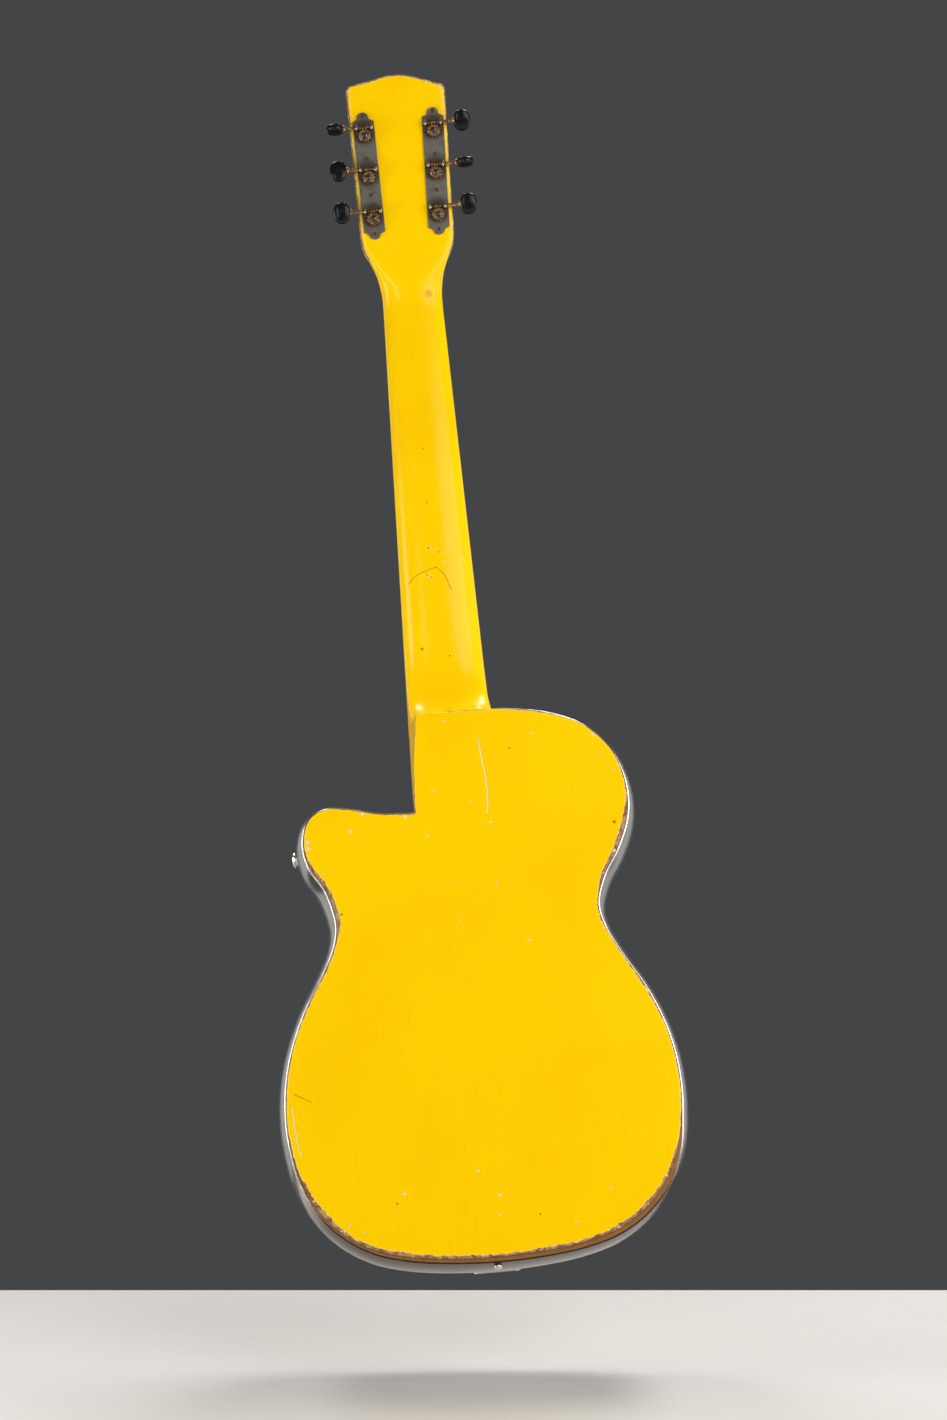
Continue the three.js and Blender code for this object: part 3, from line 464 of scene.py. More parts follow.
# ------------------------------------------------------------------ materials
class Finish:
    """A material with a Principled shader, and short calls for the nodes that feed it."""

    def __init__(self, name, color, metallic=0.0, roughness=0.5, **sockets):
        self.material = bpy.data.materials.new(name)
        self.material.use_nodes = True
        self.tree = self.material.node_tree
        self.shader = self.tree.nodes["Principled BSDF"]
        self.set("Base Color", (*color, 1))
        self.set("Metallic", metallic)
        self.set("Roughness", roughness)
        for socket, value in sockets.items():
            self.set(socket.replace("_", " "), value)
        texture = self.tree.nodes.new("ShaderNodeTexCoord")
        self.place = self.vector("SCALE", texture.outputs["Object"], scale=1 / MM)

    def set(self, socket, value):
        self.feed(self.shader.inputs[socket], value)

    def feed(self, socket, value):
        if isinstance(value, bpy.types.NodeSocket):
            self.tree.links.new(value, socket)
        else:
            socket.default_value = value

    def add(self, kind, inputs=(), **settings):
        made = self.tree.nodes.new("ShaderNode" + kind)
        for setting, value in settings.items():
            setattr(made, setting, value)
        for key, value in dict(inputs).items():
            self.feed(made.inputs[key], value)
        return made

    def math(self, operation, a, b=0.0, clamp=False):
        return self.add("Math", {0: a, 1: b}, operation=operation, use_clamp=clamp).outputs[0]

    def times(self, a, b):
        return self.math("MULTIPLY", a, b)

    def plus(self, a, b):
        return self.math("ADD", a, b)

    def larger(self, a, b):
        return self.math("MAXIMUM", a, b)

    def vector(self, operation, a, b=None, scale=None):
        made = self.add("VectorMath", {0: a}, operation=operation)
        if b is not None:
            self.feed(made.inputs[1], b)
        if scale is not None:
            self.feed(made.inputs["Scale"], scale)
        return made.outputs["Value" if operation in ("LENGTH", "DOT_PRODUCT", "DISTANCE") else "Vector"]

    def noise(self, size, detail=2.0, roughness=0.5, stretch=(1, 1, 1), offset=0.0):
        """Cloudy noise from 0 to 1 whose blotches are about size millimetres."""
        place = self.vector("MULTIPLY", self.place, tuple(s / size for s in stretch))
        place = self.vector("ADD", place, (offset, offset, offset))
        values = {"Vector": place, "Scale": 1.0, "Detail": detail, "Roughness": roughness}
        return self.add("TexNoise", values).outputs["Fac"]

    def spots(self, size, radius, soft=0.08, offset=0.0, share=1.0):
        """1 inside round spots scattered about size millimetres apart. share is how many are kept."""
        place = self.vector("ADD", self.vector("SCALE", self.place, scale=1 / size), (offset,) * 3)
        cells = self.add("TexVoronoi", {"Vector": place, "Scale": 1.0})
        near = self.band(cells.outputs["Distance"], radius / size + soft, radius / size)
        if share >= 1:
            return near
        chosen = self.add("SeparateColor", {"Color": cells.outputs["Color"]}).outputs[0]
        return self.times(near, self.math("LESS_THAN", chosen, share))

    def band(self, value, at_zero, at_one):
        """0 up to at_zero and 1 from at_one on, smooth between them."""
        values = {"Value": value, "From Min": at_zero, "From Max": at_one}
        made = self.add("MapRange", values, interpolation_type="SMOOTHSTEP")
        return made.outputs["Result"]

    def mix(self, share, a, b):
        a, b = (value if isinstance(value, bpy.types.NodeSocket) else (*value, 1) for value in (a, b))
        made = self.add("Mix", data_type="RGBA")
        for index, value in ((0, share), (6, a), (7, b)):
            self.feed(made.inputs[index], value)
        return made.outputs[2]

    def blend(self, share, a, b):
        made = self.add("Mix", data_type="FLOAT")
        for index, value in ((0, share), (2, a), (3, b)):
            self.feed(made.inputs[index], value)
        return made.outputs[0]

    def bump(self, height, depth, strength=1.0):
        """height from 0 to 1 stands for depth millimetres."""
        before = self.shader.inputs["Normal"].links
        values = {"Height": height, "Distance": depth * MM, "Strength": strength}
        made = self.add("Bump", values)
        if before:
            self.feed(made.inputs["Normal"], before[0].from_socket)
        self.set("Normal", made.outputs["Normal"])

    def edge(self):
        return self.add("Attribute", attribute_name="edge").outputs["Fac"]

    def near_spots(self, spots, ragged):
        """1 inside round spots given as x, z and radius, with their edges broken by ragged noise."""
        flat = self.vector("MULTIPLY", self.place, (1, 0, 1))
        nearest = None
        for x, z, radius in spots:
            away = self.vector("DISTANCE", flat, (x, 0, z + PIN_REACH))
            share = self.math("DIVIDE", away, radius)
            nearest = share if nearest is None else self.math("MINIMUM", nearest, share)
        if nearest is None:
            return 0.0
        return self.band(self.plus(nearest, self.times(ragged, 1.6)), 1.95, 1.75)

    def near_lines(self, lines, width, ragged):
        """1 along lines through x and z points, about width across, with broken edges."""
        covered = 0.0
        for line in lines:
            away = self.near_line([row_mm(x, 0, z) for x, z in line])
            share = self.plus(self.math("DIVIDE", away, width), self.times(ragged, 2.4))
            covered = self.larger(covered, self.band(share, 2.3, 1.9))
        return covered

    def near_line(self, points):
        """The distance in millimetres to a line through points."""
        nearest = None
        flat = self.vector("MULTIPLY", self.place, (1, 0, 1))
        for a, b in zip(points, points[1:]):
            a, b = (Vector((p[0], 0, p[2])) for p in (a, b))
            from_a = self.vector("SUBTRACT", flat, tuple(a))
            along = self.vector("DOT_PRODUCT", from_a, tuple((b - a) / (b - a).length_squared))
            along = self.math("ADD", along, 0.0, clamp=True)
            foot = self.vector("SCALE", tuple(b - a), scale=along)
            away = self.vector("LENGTH", self.vector("SUBTRACT", from_a, foot))
            nearest = away if nearest is None else self.math("MINIMUM", nearest, away)
        return nearest


def row_mm(x, y, z):
    """A body point in the row frame's millimetres, as the shader sees it."""
    return (x, y - PIN_Y, z + PIN_REACH)


YELLOW = (1.0, 0.615, 0.0)
DEEP_YELLOW = (0.94, 0.52, 0.0)
WORN_WOOD = (0.2, 0.095, 0.045)
TAN_WOOD = (0.47, 0.3, 0.15)
PRIMER = (0.8, 0.68, 0.46)
# painted reflection: the dark brown a dark stand would mirror into the rim metal near the tail
PAINTED_REFLECTION_BROWN = (0.08, 0.05, 0.03)

BACK_CHIPS = [  # x, z and radius of each small spot where the paint has gone
    (-85, 330, 1.2), (-119, 324, 1.5), (-119, 319, 1.3), (-109, 299, 0.6), (-42, 338, 1.3),
    (-75, 343, 1.3), (-5, 412, 0.8), (62, 396, 0.7), (110, 391, 1.0), (114, 376, 0.6),
    (124, 361, 0.8), (-19, 356, 0.7), (11, 346, 0.6), (24, 328, 0.8), (-26, 321, 0.7),
    (-66, 48, 1.1), (-10, 283, 0.6), (25, 280, 0.8), (-6, 252, 0.6), (46, 233, 1.0),
    (6, 41, 1.1), (5, 26, 0.8), (-9, 60, 1.0), (-29, 413, 1.5), (-30, 406, 1.4),
    (-109, 28, 0.9), (-98, 21, 0.7), (90, 39, 0.6), (62, 16, 0.8),
]
BACK_CRACKS = [
    [(20, 396), (21, 381), (23, 366), (23.5, 350), (22, 336)],
    [(-146, 120), (-145, 104), (-144, 94), (-142, 82)],
]
BACK_MARKS = [(44, 386, 0.7), (120, 320, 1.3), (-72, 41, 0.9), (35, 24, 0.8), (-97, 265, 0.9)]
BACK_SCRATCHES = [[(-144, 130), (-131, 123)]]
NECK_MARKS = [
    (-5, 574, 0.7), (4, 570, 0.6), (-17, 489, 1.1), (-2, 660, 0.6), (-3, 613, 0.6), (5, 481, 0.7),
]
NECK_SCRATCHES = [
    [(-24, 545.5), (-18, 551), (-11, 554), (0, 557), (6, 551), (11, 537)], [(-8, 551), (-4, 549)],
]
NECK_CHIPS = [
    (-3, 574, 0.7), (11, 572, 0.8), (5, 569, 0.6), (0, 572, 0.5), (7, 560, 0.8), (9, 554, 0.6),
    (10, 548, 0.6), (23, 566, 0.6), (-6, 550, 0.9),
]
FILLED_DOT = (13.7, 797.4, 3.1)


def paint(name, chips=(), cracks=(), marks=(), scratches=(), worn=1.0, dot=None):
    """Thick brushed paint over wood, worn through along the edges and in small chips.

    Chips and cracks show pale primer. Marks and scratches are brown, and don't go through.
    """
    f = Finish(name, YELLOW, roughness=0.2, Specular_IOR_Level=0.14)
    color = f.mix(f.times(f.band(f.noise(120, 2), 0.4, 0.75), 0.45), YELLOW, DEEP_YELLOW)
    streaks = f.noise(1.7, 4, 0.62, stretch=(1, 1, 0.03))
    color = f.mix(f.times(f.band(streaks, 0.5, 0.78), 0.2), color, (0.82, 0.44, 0.0))
    cross = f.noise(2.2, 3, 0.6, stretch=(0.05, 1, 1), offset=7.3)
    color = f.mix(f.times(f.band(cross, 0.55, 0.8), 0.12), color, (0.85, 0.47, 0.0))
    if dot:
        x, z, radius = dot
        away = f.vector("DISTANCE", f.vector("MULTIPLY", f.place, (1, 0, 1)), (x, 0, z + PIN_REACH))
        inside_dot = f.times(f.band(away, radius + 0.4, radius - 0.4), 0.8)
        color = f.mix(inside_dot, color, (0.75, 0.33, 0.0))
    ragged = f.noise(1.5, 4, 0.7, offset=2.6)
    stains = f.times(f.spots(19, 0.3, 0.012, share=0.3), 0.5)
    stains = f.larger(stains, f.near_spots(marks, ragged))
    stains = f.larger(stains, f.near_lines(scratches, 0.35, ragged))
    color = f.mix(f.times(stains, 0.8), color, (0.3, 0.12, 0.01))
    bare = f.times(f.spots(31, 0.45, 0.012, offset=3.7, share=0.3), 0.7)
    bare = f.larger(bare, f.near_spots(chips, ragged))
    bare = f.larger(bare, f.near_lines(cracks, 0.42, ragged))
    color = f.mix(bare, color, PRIMER)
    place = f.edge()
    broad = f.times(f.noise(31, 2, offset=2.2), 0.6)
    jagged = f.plus(f.noise(4.2, 6, 0.72), broad)
    inner = f.math("SUBTRACT", place, f.times(f.math("SUBTRACT", jagged, 0.62), 5.5 * worn))
    near = f.band(place, -3.4, -2.6)
    gone = f.times(f.band(inner, 1.0, 0.75), near)
    color = f.mix(f.times(f.times(f.band(inner, 1.6, 0.9), near), 0.6), color, PRIMER)
    grain = f.noise(1.3, 4, 0.6, stretch=(0.3, 1, 0.3), offset=5)
    wood = f.mix(f.band(grain, 0.38, 0.66), WORN_WOOD, TAN_WOOD)
    wood = f.mix(f.band(f.noise(5, 3, offset=9), 0.6, 0.7), wood, PRIMER)
    color = f.mix(gone, color, wood)
    f.set("Base Color", color)
    through = f.larger(bare, gone)
    rough = f.blend(f.noise(14, 4, 0.6, offset=1.1), 0.13, 0.27)
    f.set("Roughness", f.blend(through, rough, 0.75))
    f.bump(f.math("SUBTRACT", 1.0, through), 0.18)
    f.bump(f.noise(28, 2, offset=4.4), 0.08)
    return f.material


def polished_metal(name="polished metal", grain=(1, 0.06, 1), tint=(0.66, 0.64, 0.6), worn=1.0,
                   painted_tail_reflection=False):
    """Old nickel plate: bright, finely scratched, with dull and brownish patches. Where asked, a painted
    reflection of a dark stand browns it towards the tail.
    """
    f = Finish(name, tint, metallic=1.0, roughness=0.16)
    cloud = f.noise(38, 4, 0.6)
    color = f.mix(f.band(cloud, 0.45, 0.8), tint, tuple(c * k for c, k in zip(tint, (0.8, 0.74, 0.64))))
    pits = f.times(f.spots(5.5, 0.3, 0.03, share=0.3), 0.6 * worn)
    color = f.mix(pits, color, (0.13, 0.09, 0.06))
    # painted reflection: the metal turns dark brown towards the tail, standing for a dark stand mirrored in
    # it
    if painted_tail_reflection:
        height = f.add("SeparateXYZ", {"Vector": f.place}).outputs["Z"]
        ragged = f.plus(height, f.times(cloud, 20))
        color = f.mix(f.band(ragged, PIN_REACH + 75, PIN_REACH + 35), color, PAINTED_REFLECTION_BROWN)
    f.set("Base Color", color)
    scratch = f.noise(0.9, 3, 0.6, stretch=grain)
    rough = f.plus(f.blend(cloud, 0.1, 0.26), f.times(scratch, 0.08))
    f.set("Roughness", f.larger(rough, f.times(pits, 0.6)))
    f.bump(scratch, 0.006)
    return f.material


def amber_edge_strip():
    """A dark amber strip between the back plate and the metal."""
    f = Finish("amber edge", (0.3, 0.12, 0.015), roughness=0.4)
    f.set("Base Color", f.mix(f.noise(6, 4, 0.6), (0.13, 0.04, 0.004), (0.38, 0.15, 0.012)))
    return f.material


def bare_wood(name="bare wood", pale=(0.56, 0.38, 0.2), dark=(0.36, 0.2, 0.09), stretch=(1, 1, 0.08)):
    """Unfinished timber with its grain along the guitar, or across it where stretch says so."""
    f = Finish(name, pale, roughness=0.62)
    grain = f.noise(4.5, 5, 0.65, stretch=stretch)
    fine = f.noise(0.8, 3, 0.6, stretch=stretch, offset=3)
    color = f.mix(f.band(grain, 0.35, 0.7), pale, dark)
    f.set("Base Color", f.mix(f.times(f.band(fine, 0.6, 0.75), 0.5), color, dark))
    f.set("Roughness", f.blend(grain, 0.5, 0.75))
    f.bump(fine, 0.05)
    return f.material


def dark_board():
    """Oiled dark wood with open pores along the grain and the players' wear between the frets."""
    f = Finish("fingerboard wood", (0.06, 0.028, 0.016), roughness=0.42)
    grain = f.noise(3.5, 5, 0.62, stretch=(1, 1, 0.05))
    color = f.mix(f.band(grain, 0.4, 0.7), (0.045, 0.02, 0.012), (0.13, 0.06, 0.03))
    pores = f.band(f.noise(0.55, 2, 0.5, stretch=(1, 1, 0.07), offset=6), 0.62, 0.72)
    f.set("Base Color", f.mix(pores, color, (0.012, 0.006, 0.004)))
    f.set("Roughness", f.blend(f.noise(18, 3, offset=8), 0.3, 0.58))
    f.bump(f.math("SUBTRACT", 1.0, pores), 0.06)
    return f.material


def lacquer():
    f = Finish("black lacquer", (0.012, 0.011, 0.01), roughness=0.2, Coat_Weight=0.6, Coat_Roughness=0.08)
    f.set("Base Color", f.mix(f.band(f.noise(30, 3), 0.4, 0.7), (0.009, 0.008, 0.008), (0.02, 0.017, 0.014)))
    scratch = f.noise(1.4, 4, 0.65, stretch=(0.3, 1, 0.12))
    f.set("Roughness", f.blend(scratch, 0.12, 0.34))
    f.bump(scratch, 0.012)
    return f.material


def spun_metal():
    """Thin aluminium with the fine rings that spinning leaves."""
    f = Finish("spun aluminium", (0.74, 0.74, 0.75), metallic=1.0, roughness=0.3)
    centre = f.vector("SUBTRACT", f.place, row_mm(0, 0, CONE_Z))
    reach = f.vector("LENGTH", f.vector("MULTIPLY", centre, (1, 0, 1)))
    rings = f.math("SINE", f.times(reach, 6.0))
    f.set("Roughness", f.blend(f.noise(9, 3), 0.22, 0.42))
    f.bump(f.times(f.plus(rings, 1.0), 0.5), 0.02)
    return f.material


def aged_nickel():
    """Tarnished tuner plating: smooth grey between the gears and darker brown round them."""
    f = Finish("aged nickel", (0.2, 0.18, 0.16), metallic=0.8, roughness=0.4)
    flat = f.vector("MULTIPLY", f.place, (1, 0, 1))
    nearest = None
    for x, h in POSTS.values():
        for side in (-1, 1):
            post = to_row(HEAD @ Vector((side * x, 0, h + WORM_OFFSET / 2))) / MM
            away = f.vector("DISTANCE", flat, (post.x, 0, post.z))
            nearest = away if nearest is None else f.math("MINIMUM", nearest, away)
    cloud = f.noise(7, 4, 0.55)
    # darker brown and rougher within about 10 to 17 mm of each gear
    near_gears = f.band(f.plus(nearest, f.times(cloud, 6)), 17.5, 10)
    color = f.mix(f.band(cloud, 0.4, 0.65), (0.2, 0.188, 0.165), (0.135, 0.122, 0.103))
    color = f.mix(f.times(near_gears, 0.9), color, (0.05, 0.034, 0.022))
    f.set("Base Color", color)
    f.set("Roughness", f.blend(near_gears, f.blend(cloud, 0.33, 0.45), 0.55))
    f.bump(f.noise(0.9, 3, 0.5), 0.02)
    return f.material


def bronze():
    """Copper-brown gears and shafts, bright where they rub."""
    f = Finish("worn bronze", (0.45, 0.25, 0.1), metallic=0.8, roughness=0.33)
    stain = f.noise(2.4, 3, 0.55)
    rubbed = f.band(f.noise(0.9, 2, 0.5, offset=4), 0.52, 0.62)
    color = f.mix(f.band(stain, 0.36, 0.6), (0.5, 0.27, 0.11), (0.11, 0.05, 0.022))
    f.set("Base Color", f.mix(f.times(rubbed, 0.6), color, (0.8, 0.52, 0.26)))
    f.set("Roughness", f.blend(stain, 0.2, 0.42))
    f.bump(f.noise(0.6, 3), 0.015)
    return f.material


def dark_steel():
    """The gears' centre screws, nearly black with oil."""
    f = Finish("oiled steel", (0.09, 0.08, 0.07), metallic=0.85, roughness=0.3)
    f.set("Base Color", f.mix(f.band(f.noise(1.4, 3), 0.4, 0.65), (0.12, 0.105, 0.09), (0.05, 0.035, 0.025)))
    f.set("Roughness", f.blend(f.noise(0.8, 2), 0.22, 0.45))
    return f.material


def rusty_steel():
    """Small wood screws, brown with rust."""
    f = Finish("rusty steel", (0.17, 0.06, 0.03), metallic=0.5, roughness=0.6)
    f.set("Base Color", f.mix(f.band(f.noise(1.2, 4), 0.4, 0.66), (0.13, 0.045, 0.025), (0.045, 0.02, 0.014)))
    f.bump(f.noise(0.5, 4), 0.05)
    return f.material


def screw_steel():
    f = Finish("old steel", (0.3, 0.27, 0.23), metallic=0.9, roughness=0.4)
    f.set("Base Color", f.mix(f.band(f.noise(1.8, 4), 0.4, 0.66), (0.42, 0.39, 0.34), (0.12, 0.08, 0.05)))
    f.bump(f.noise(0.7, 3), 0.02)
    return f.material


def black_plastic():
    """Glossy black, finely scuffed from handling."""
    f = Finish("black plastic", (0.008, 0.008, 0.009), roughness=0.22, Specular_IOR_Level=0.22)
    scuff = f.noise(3, 5, 0.68)
    f.set("Base Color", f.mix(f.band(scuff, 0.5, 0.8), (0.006, 0.006, 0.007), (0.016, 0.014, 0.013)))
    f.set("Roughness", f.blend(f.band(scuff, 0.4, 0.75), 0.18, 0.4))
    f.bump(f.noise(0.5, 3, 0.6), 0.006)
    return f.material


def bone():
    f = Finish("bone", (0.78, 0.72, 0.56), roughness=0.42, Subsurface_Weight=0.08)
    grain = f.noise(2.5, 4, 0.6, stretch=(0.3, 1, 1))
    f.set("Base Color", f.mix(grain, (0.82, 0.76, 0.6), (0.66, 0.57, 0.4)))
    f.bump(f.noise(0.4, 2), 0.01)
    return f.material


def string_wire(name, pitch):
    """Wire, wrapped along its length where pitch isn't 0."""
    f = Finish(name, (0.55, 0.52, 0.47), metallic=1.0, roughness=0.3)
    f.set("Base Color", f.mix(f.noise(12, 3), (0.6, 0.57, 0.52), (0.36, 0.29, 0.22)))
    if pitch:
        along = f.add("SeparateXYZ", {"Vector": f.place}).outputs["Z"]
        wave = f.math("SINE", f.times(along, 2 * math.pi / pitch))
        f.bump(f.times(f.plus(wave, 1.0), 0.5), pitch * 0.4)
    return f.material


def pale_floor():
    f = Finish("pale floor", (0.62, 0.6, 0.57), roughness=0.6)
    f.set("Base Color", f.mix(f.noise(260, 3), (0.64, 0.62, 0.59), (0.56, 0.54, 0.51)))
    return f.material


PAINT = paint("yellow paint", BACK_CHIPS, BACK_CRACKS, BACK_MARKS, BACK_SCRATCHES)
PLAIN_PAINT = paint("plain yellow paint")
NECK_PAINT = paint("yellow neck paint", chips=NECK_CHIPS, marks=NECK_MARKS, scratches=NECK_SCRATCHES,
                   worn=0.45, dot=FILLED_DOT)
POLISHED = polished_metal()
# the rim metal carries a painted dark reflection towards the tail
RIM_METAL = polished_metal("rim metal", grain=(0.05, 1, 0.05), painted_tail_reflection=True)
AMBER = amber_edge_strip()
WOOD = bare_wood()
DARK_WOOD = dark_board()
LACQUER = lacquer()
SPUN = spun_metal()
NICKEL = aged_nickel()
BRONZE = bronze()
STEEL = screw_steel()
RUST = rusty_steel()
DARK_STEEL = dark_steel()
LUG_METAL = polished_metal("lug nickel", grain=(1, 1, 1), tint=(0.7, 0.67, 0.6))
BLACK = black_plastic()
BONE = bone()
SCREEN = polished_metal("screen metal", grain=(1, 1, 1), tint=(0.6, 0.58, 0.53))
FRET = polished_metal("fret wire", grain=(1, 1, 1), tint=(0.62, 0.6, 0.52), worn=0.4)
WRAP_PITCHES = (0, 0, 0.32, 0.38, 0.46, 0.56)  # of each string's winding; the plain ones have none
STRING_FINISH = [string_wire(f"string wire {i + 1}", pitch) for i, pitch in enumerate(WRAP_PITCHES)]


# ------------------------------------------------------------------ body
RIM_ARC = ((BODY_DEPTH / 2 - PLATE - GAP) ** 2 + RIM_BULGE ** 2) / (2 * RIM_BULGE)  # the bulge's radius


def rim_offset(y):
    """How far the metal side stands outside the plates' edge at depth y."""
    return math.sqrt(RIM_ARC ** 2 - (y - BODY_DEPTH / 2) ** 2) - (RIM_ARC - RIM_BULGE)


STRIP_WIDTH = 0.5  # of the wooden strip round each plate, where it is narrowest
FULL_PAINT = 1.7  # how much nearer the edge the paint reaches at the sides
NOT_WORN = 8.0  # a place this far from any edge keeps its paint


def edge_shift(x, z):
    """How much further out the strip and the metal stand towards the tail, in millimetres."""
    return smooth_step(100, 40, z) * (2.0 + 0.008 * x)


def extra_paint(x, z):
    """How much nearer the edge the paint reaches here than where it is most worn, in millimetres."""
    tail = smooth_step(80, 30, z) * 2.0
    corner = smooth_step(-105, -120, x) * smooth_step(110, 80, z) * 0.8
    bass_waist = smooth_step(95, 105, x) * smooth_step(262, 285, z) * smooth_step(345, 320, z) * 2.5
    treble_waist = smooth_step(-90, -98, x) * smooth_step(238, 258, z) * smooth_step(318, 304, z) * 2.3
    top = smooth_step(355, 385, z) * 0.6 - smooth_step(404, 410, z) * 0.9
    horn = smooth_step(-60, -70, x) * smooth_step(325, 340, z) * 0.5
    heel = smooth_step(-27, -22, x) * smooth_step(36, 31, x) * smooth_step(HEEL_Z - 10, HEEL_Z - 8, z) * 9
    wall = smooth_step(-10, -24, x) * smooth_step(-60, -40, x) * smooth_step(342, 346, z)
    return FULL_PAINT - tail - corner - bass_waist - treble_waist + top + horn + heel + wall


def inside_strip(wall):
    """The body's edge moved in by the strip's width, up to the heel wall, which has no strip."""
    edge = body_outline(wall)
    return inset(edge, STRIP_WIDTH)[:RIM_STEPS] + edge[RIM_STEPS:]


def back_plate():
    outline = inside_strip(HEEL_WALL_BACK)
    part, edge = flat_plate(outline, 0, PLATE, 1.1)
    edge = [value + extra_paint(x, z) for value, (x, _, z) in zip(edge, part[0])]
    return new_piece("back_board", part, PAINT, replaces=["back_plate"], edge=edge)


def top_plate():
    holes = [circle(0, CONE_Z, WELL_RADIUS - 5, 120),
             circle(SCREEN_X, SCREEN_Z, SCREEN_HOLE, 64), circle(-SCREEN_X, SCREEN_Z, SCREEN_HOLE, 64)]
    outline = inside_strip(HEEL_WALL_FRONT)
    part, edge = flat_plate(outline, BODY_DEPTH, BODY_DEPTH - PLATE, 1.1, holes)
    return new_piece("top_board", part, PLAIN_PAINT, replaces=["top_plate"], edge=edge)


BEAD_DEEP, BEAD_OUT, BEAD_RADIUS = 6.0, 0.3, 1.15  # the rolled edge's centre and radius in its section
ARC_FROM = BEAD_DEEP + 2.2  # the bulge starts past the groove beside the rolled edge


def rim_profile(x, z):
    """The metal side's section as [y, offset]: a bulge between two rolled edges, each with a groove."""
    shift = edge_shift(x, z)
    flatter = 1 - max(shift - 0.5, 0) / RIM_BULGE
    bead = []
    for step in range(12):
        turn = math.radians(lerp(-70, 95, step / 11))
        bead.append((BEAD_DEEP - BEAD_RADIUS * math.cos(turn),
                     shift + BEAD_OUT + BEAD_RADIUS * math.sin(turn)))
    bead.append((BEAD_DEEP + 1.0, shift + BEAD_OUT + 0.8))
    depths = [lerp(ARC_FROM, BODY_DEPTH - ARC_FROM, step / 40) for step in range(41)]
    arc = [(y, shift + rim_offset(y) * flatter) for y in depths]
    inner = [(y, rim_offset(y) - RIM_WALL)
             for y in (BODY_DEPTH - BEAD_DEEP, 60, 50, 40, 30, 20, BEAD_DEEP)]
    return bead + arc + [(BODY_DEPTH - y, off) for y, off in reversed(bead)] + inner


def strip_profile(x, z):
    """The wooden strip's section round the back plate's edge, as [y, offset]."""
    shift = edge_shift(x, z)
    outer, inner = 0.15 + shift, 0.1 - STRIP_WIDTH
    return [(1.1, inner), (0.8, inner + 0.1), (0.85, lerp(inner, outer, 0.5)),
            (1.0 + 0.2 * shift, outer - 0.2), (1.4 + 0.3 * shift, outer), (5.2, outer), (5.6, outer - 0.2),
            (5.6, inner)]


def swept_round(profile, mirrored=False):
    """A section of [y, offset] points, worked out at each place, carried round the body's edge."""
    rings = []
    for i, here in enumerate(RIM_LINE):
        before, after = RIM_LINE[max(i - 1, 0)], RIM_LINE[min(i + 1, RIM_STEPS)]
        along = (after - before).normalized()
        out = Vector((-along.y, along.x))
        section = [(BODY_DEPTH - y if mirrored else y, off) for y, off in profile(here.x, here.y)]
        rings.append([(here.x + out.x * off, y, here.y + out.y * off) for y, off in section])
    return skin(rings)


def rim():
    new_piece("metal_side", swept_round(rim_profile), RIM_METAL, replaces=["rim"])
    new_piece("edge_strip_back", swept_round(strip_profile), AMBER)
    new_piece("edge_strip_top", swept_round(strip_profile, mirrored=True), AMBER)


def heel_wall_x(wall, z):
    """The wall's x at height z: a curve through its corner, middle and top."""
    share = (z - CUTAWAY_CORNER[1]) / (HEEL_Z - CUTAWAY_CORNER[1])
    bow = wall["mid"] - (CUTAWAY_CORNER[0] + wall["top"]) / 2
    return lerp(CUTAWAY_CORNER[0], wall["top"], share) + bow * 4 * share * (1 - share)


def neck_block():
    rings = []
    heights = [lerp(CUTAWAY_CORNER[1], HEEL_Z, i / 16) for i in range(17)]
    for step in range(9):
        share = step / 8
        y = lerp(PLATE + GAP / 2, BODY_DEPTH - PLATE - GAP / 2, share)
        ring = [(lerp(heel_wall_x(HEEL_WALL_BACK, z), heel_wall_x(HEEL_WALL_FRONT, z), share), y, z)
                for z in heights]
        ring += [(RIM_START[0] - 1.5, y, HEEL_Z - 0.6), (RIM_START[0] - 1.5, y, CUTAWAY_CORNER[1])]
        rings.append(ring)
    part = skin(rings)
    return new_piece("heel_block", part, PLAIN_PAINT, replaces=["neck_block"],
                     edge=[6.0] * len(part[0]))


# ------------------------------------------------------------------ neck and headstock
def neck_half_width(z):
    return NUT_HALF_WIDTH + (NUT_Z - z) * TAPER


def neck_back_y(z):
    """The back of the neck: nearly straight, then a hollow curve down the heel."""
    depth = lerp(DEPTH_AT_NUT, DEPTH_AT_HEEL, (NUT_Z - z) / (NUT_Z - HEEL_TOP_Z))
    if z >= HEEL_TOP_Z:
        return BODY_DEPTH - depth
    down = (HEEL_TOP_Z - z) / (HEEL_TOP_Z - HEEL_Z - GAP)
    reach = BODY_DEPTH - DEPTH_AT_HEEL - 2.5
    return BODY_DEPTH - DEPTH_AT_HEEL - reach * (1 - math.sqrt(1 - 0.999 * min(down, 1) ** 2.2))


HEAD_SIDE = [
    (25, 5), (25.6, 12), (28.3, 26), (33.2, 38), (37.6, 47), (39.2, 56), (39.8, 88), (40.4, 120),
    (41.2, 155), (41.6, 176),
]
SIDE_LINE = smooth_curve(HEAD_SIDE, 12)
SIDE_TOP_H = HEAD_SIDE[-1][1]
CREST = [(-41.6, 176), (-41.3, 182.2), (-39.4, 185.6), (-34, 187.2), (-22, 189.4), (-10, 192.3),
         (0, 193.1), (11, 191.9), (24, 187.6), (35, 183.8), (39.6, 182), (41.3, 179.4), (41.6, 176)]
CREST_LINE = smooth_curve(CREST, 10)


def line_value(line, value, given):
    """The other coordinate of a line where its given coordinate (0 or 1) passes value."""
    for a, b in zip(line, line[1:]):
        low, high = sorted((a[given], b[given]))
        if low <= value <= high and high > low:
            return lerp(a[1 - given], b[1 - given], (value - a[given]) / (b[given] - a[given]))
    return line[-1][1 - given]


def head_half_width(h):
    if h <= HEAD_SIDE[0][1]:
        return NUT_HALF_WIDTH
    return line_value(SIDE_LINE, min(h, SIDE_TOP_H), 1)


NECK_STEPS = 64  # points from one side of the neck to the other


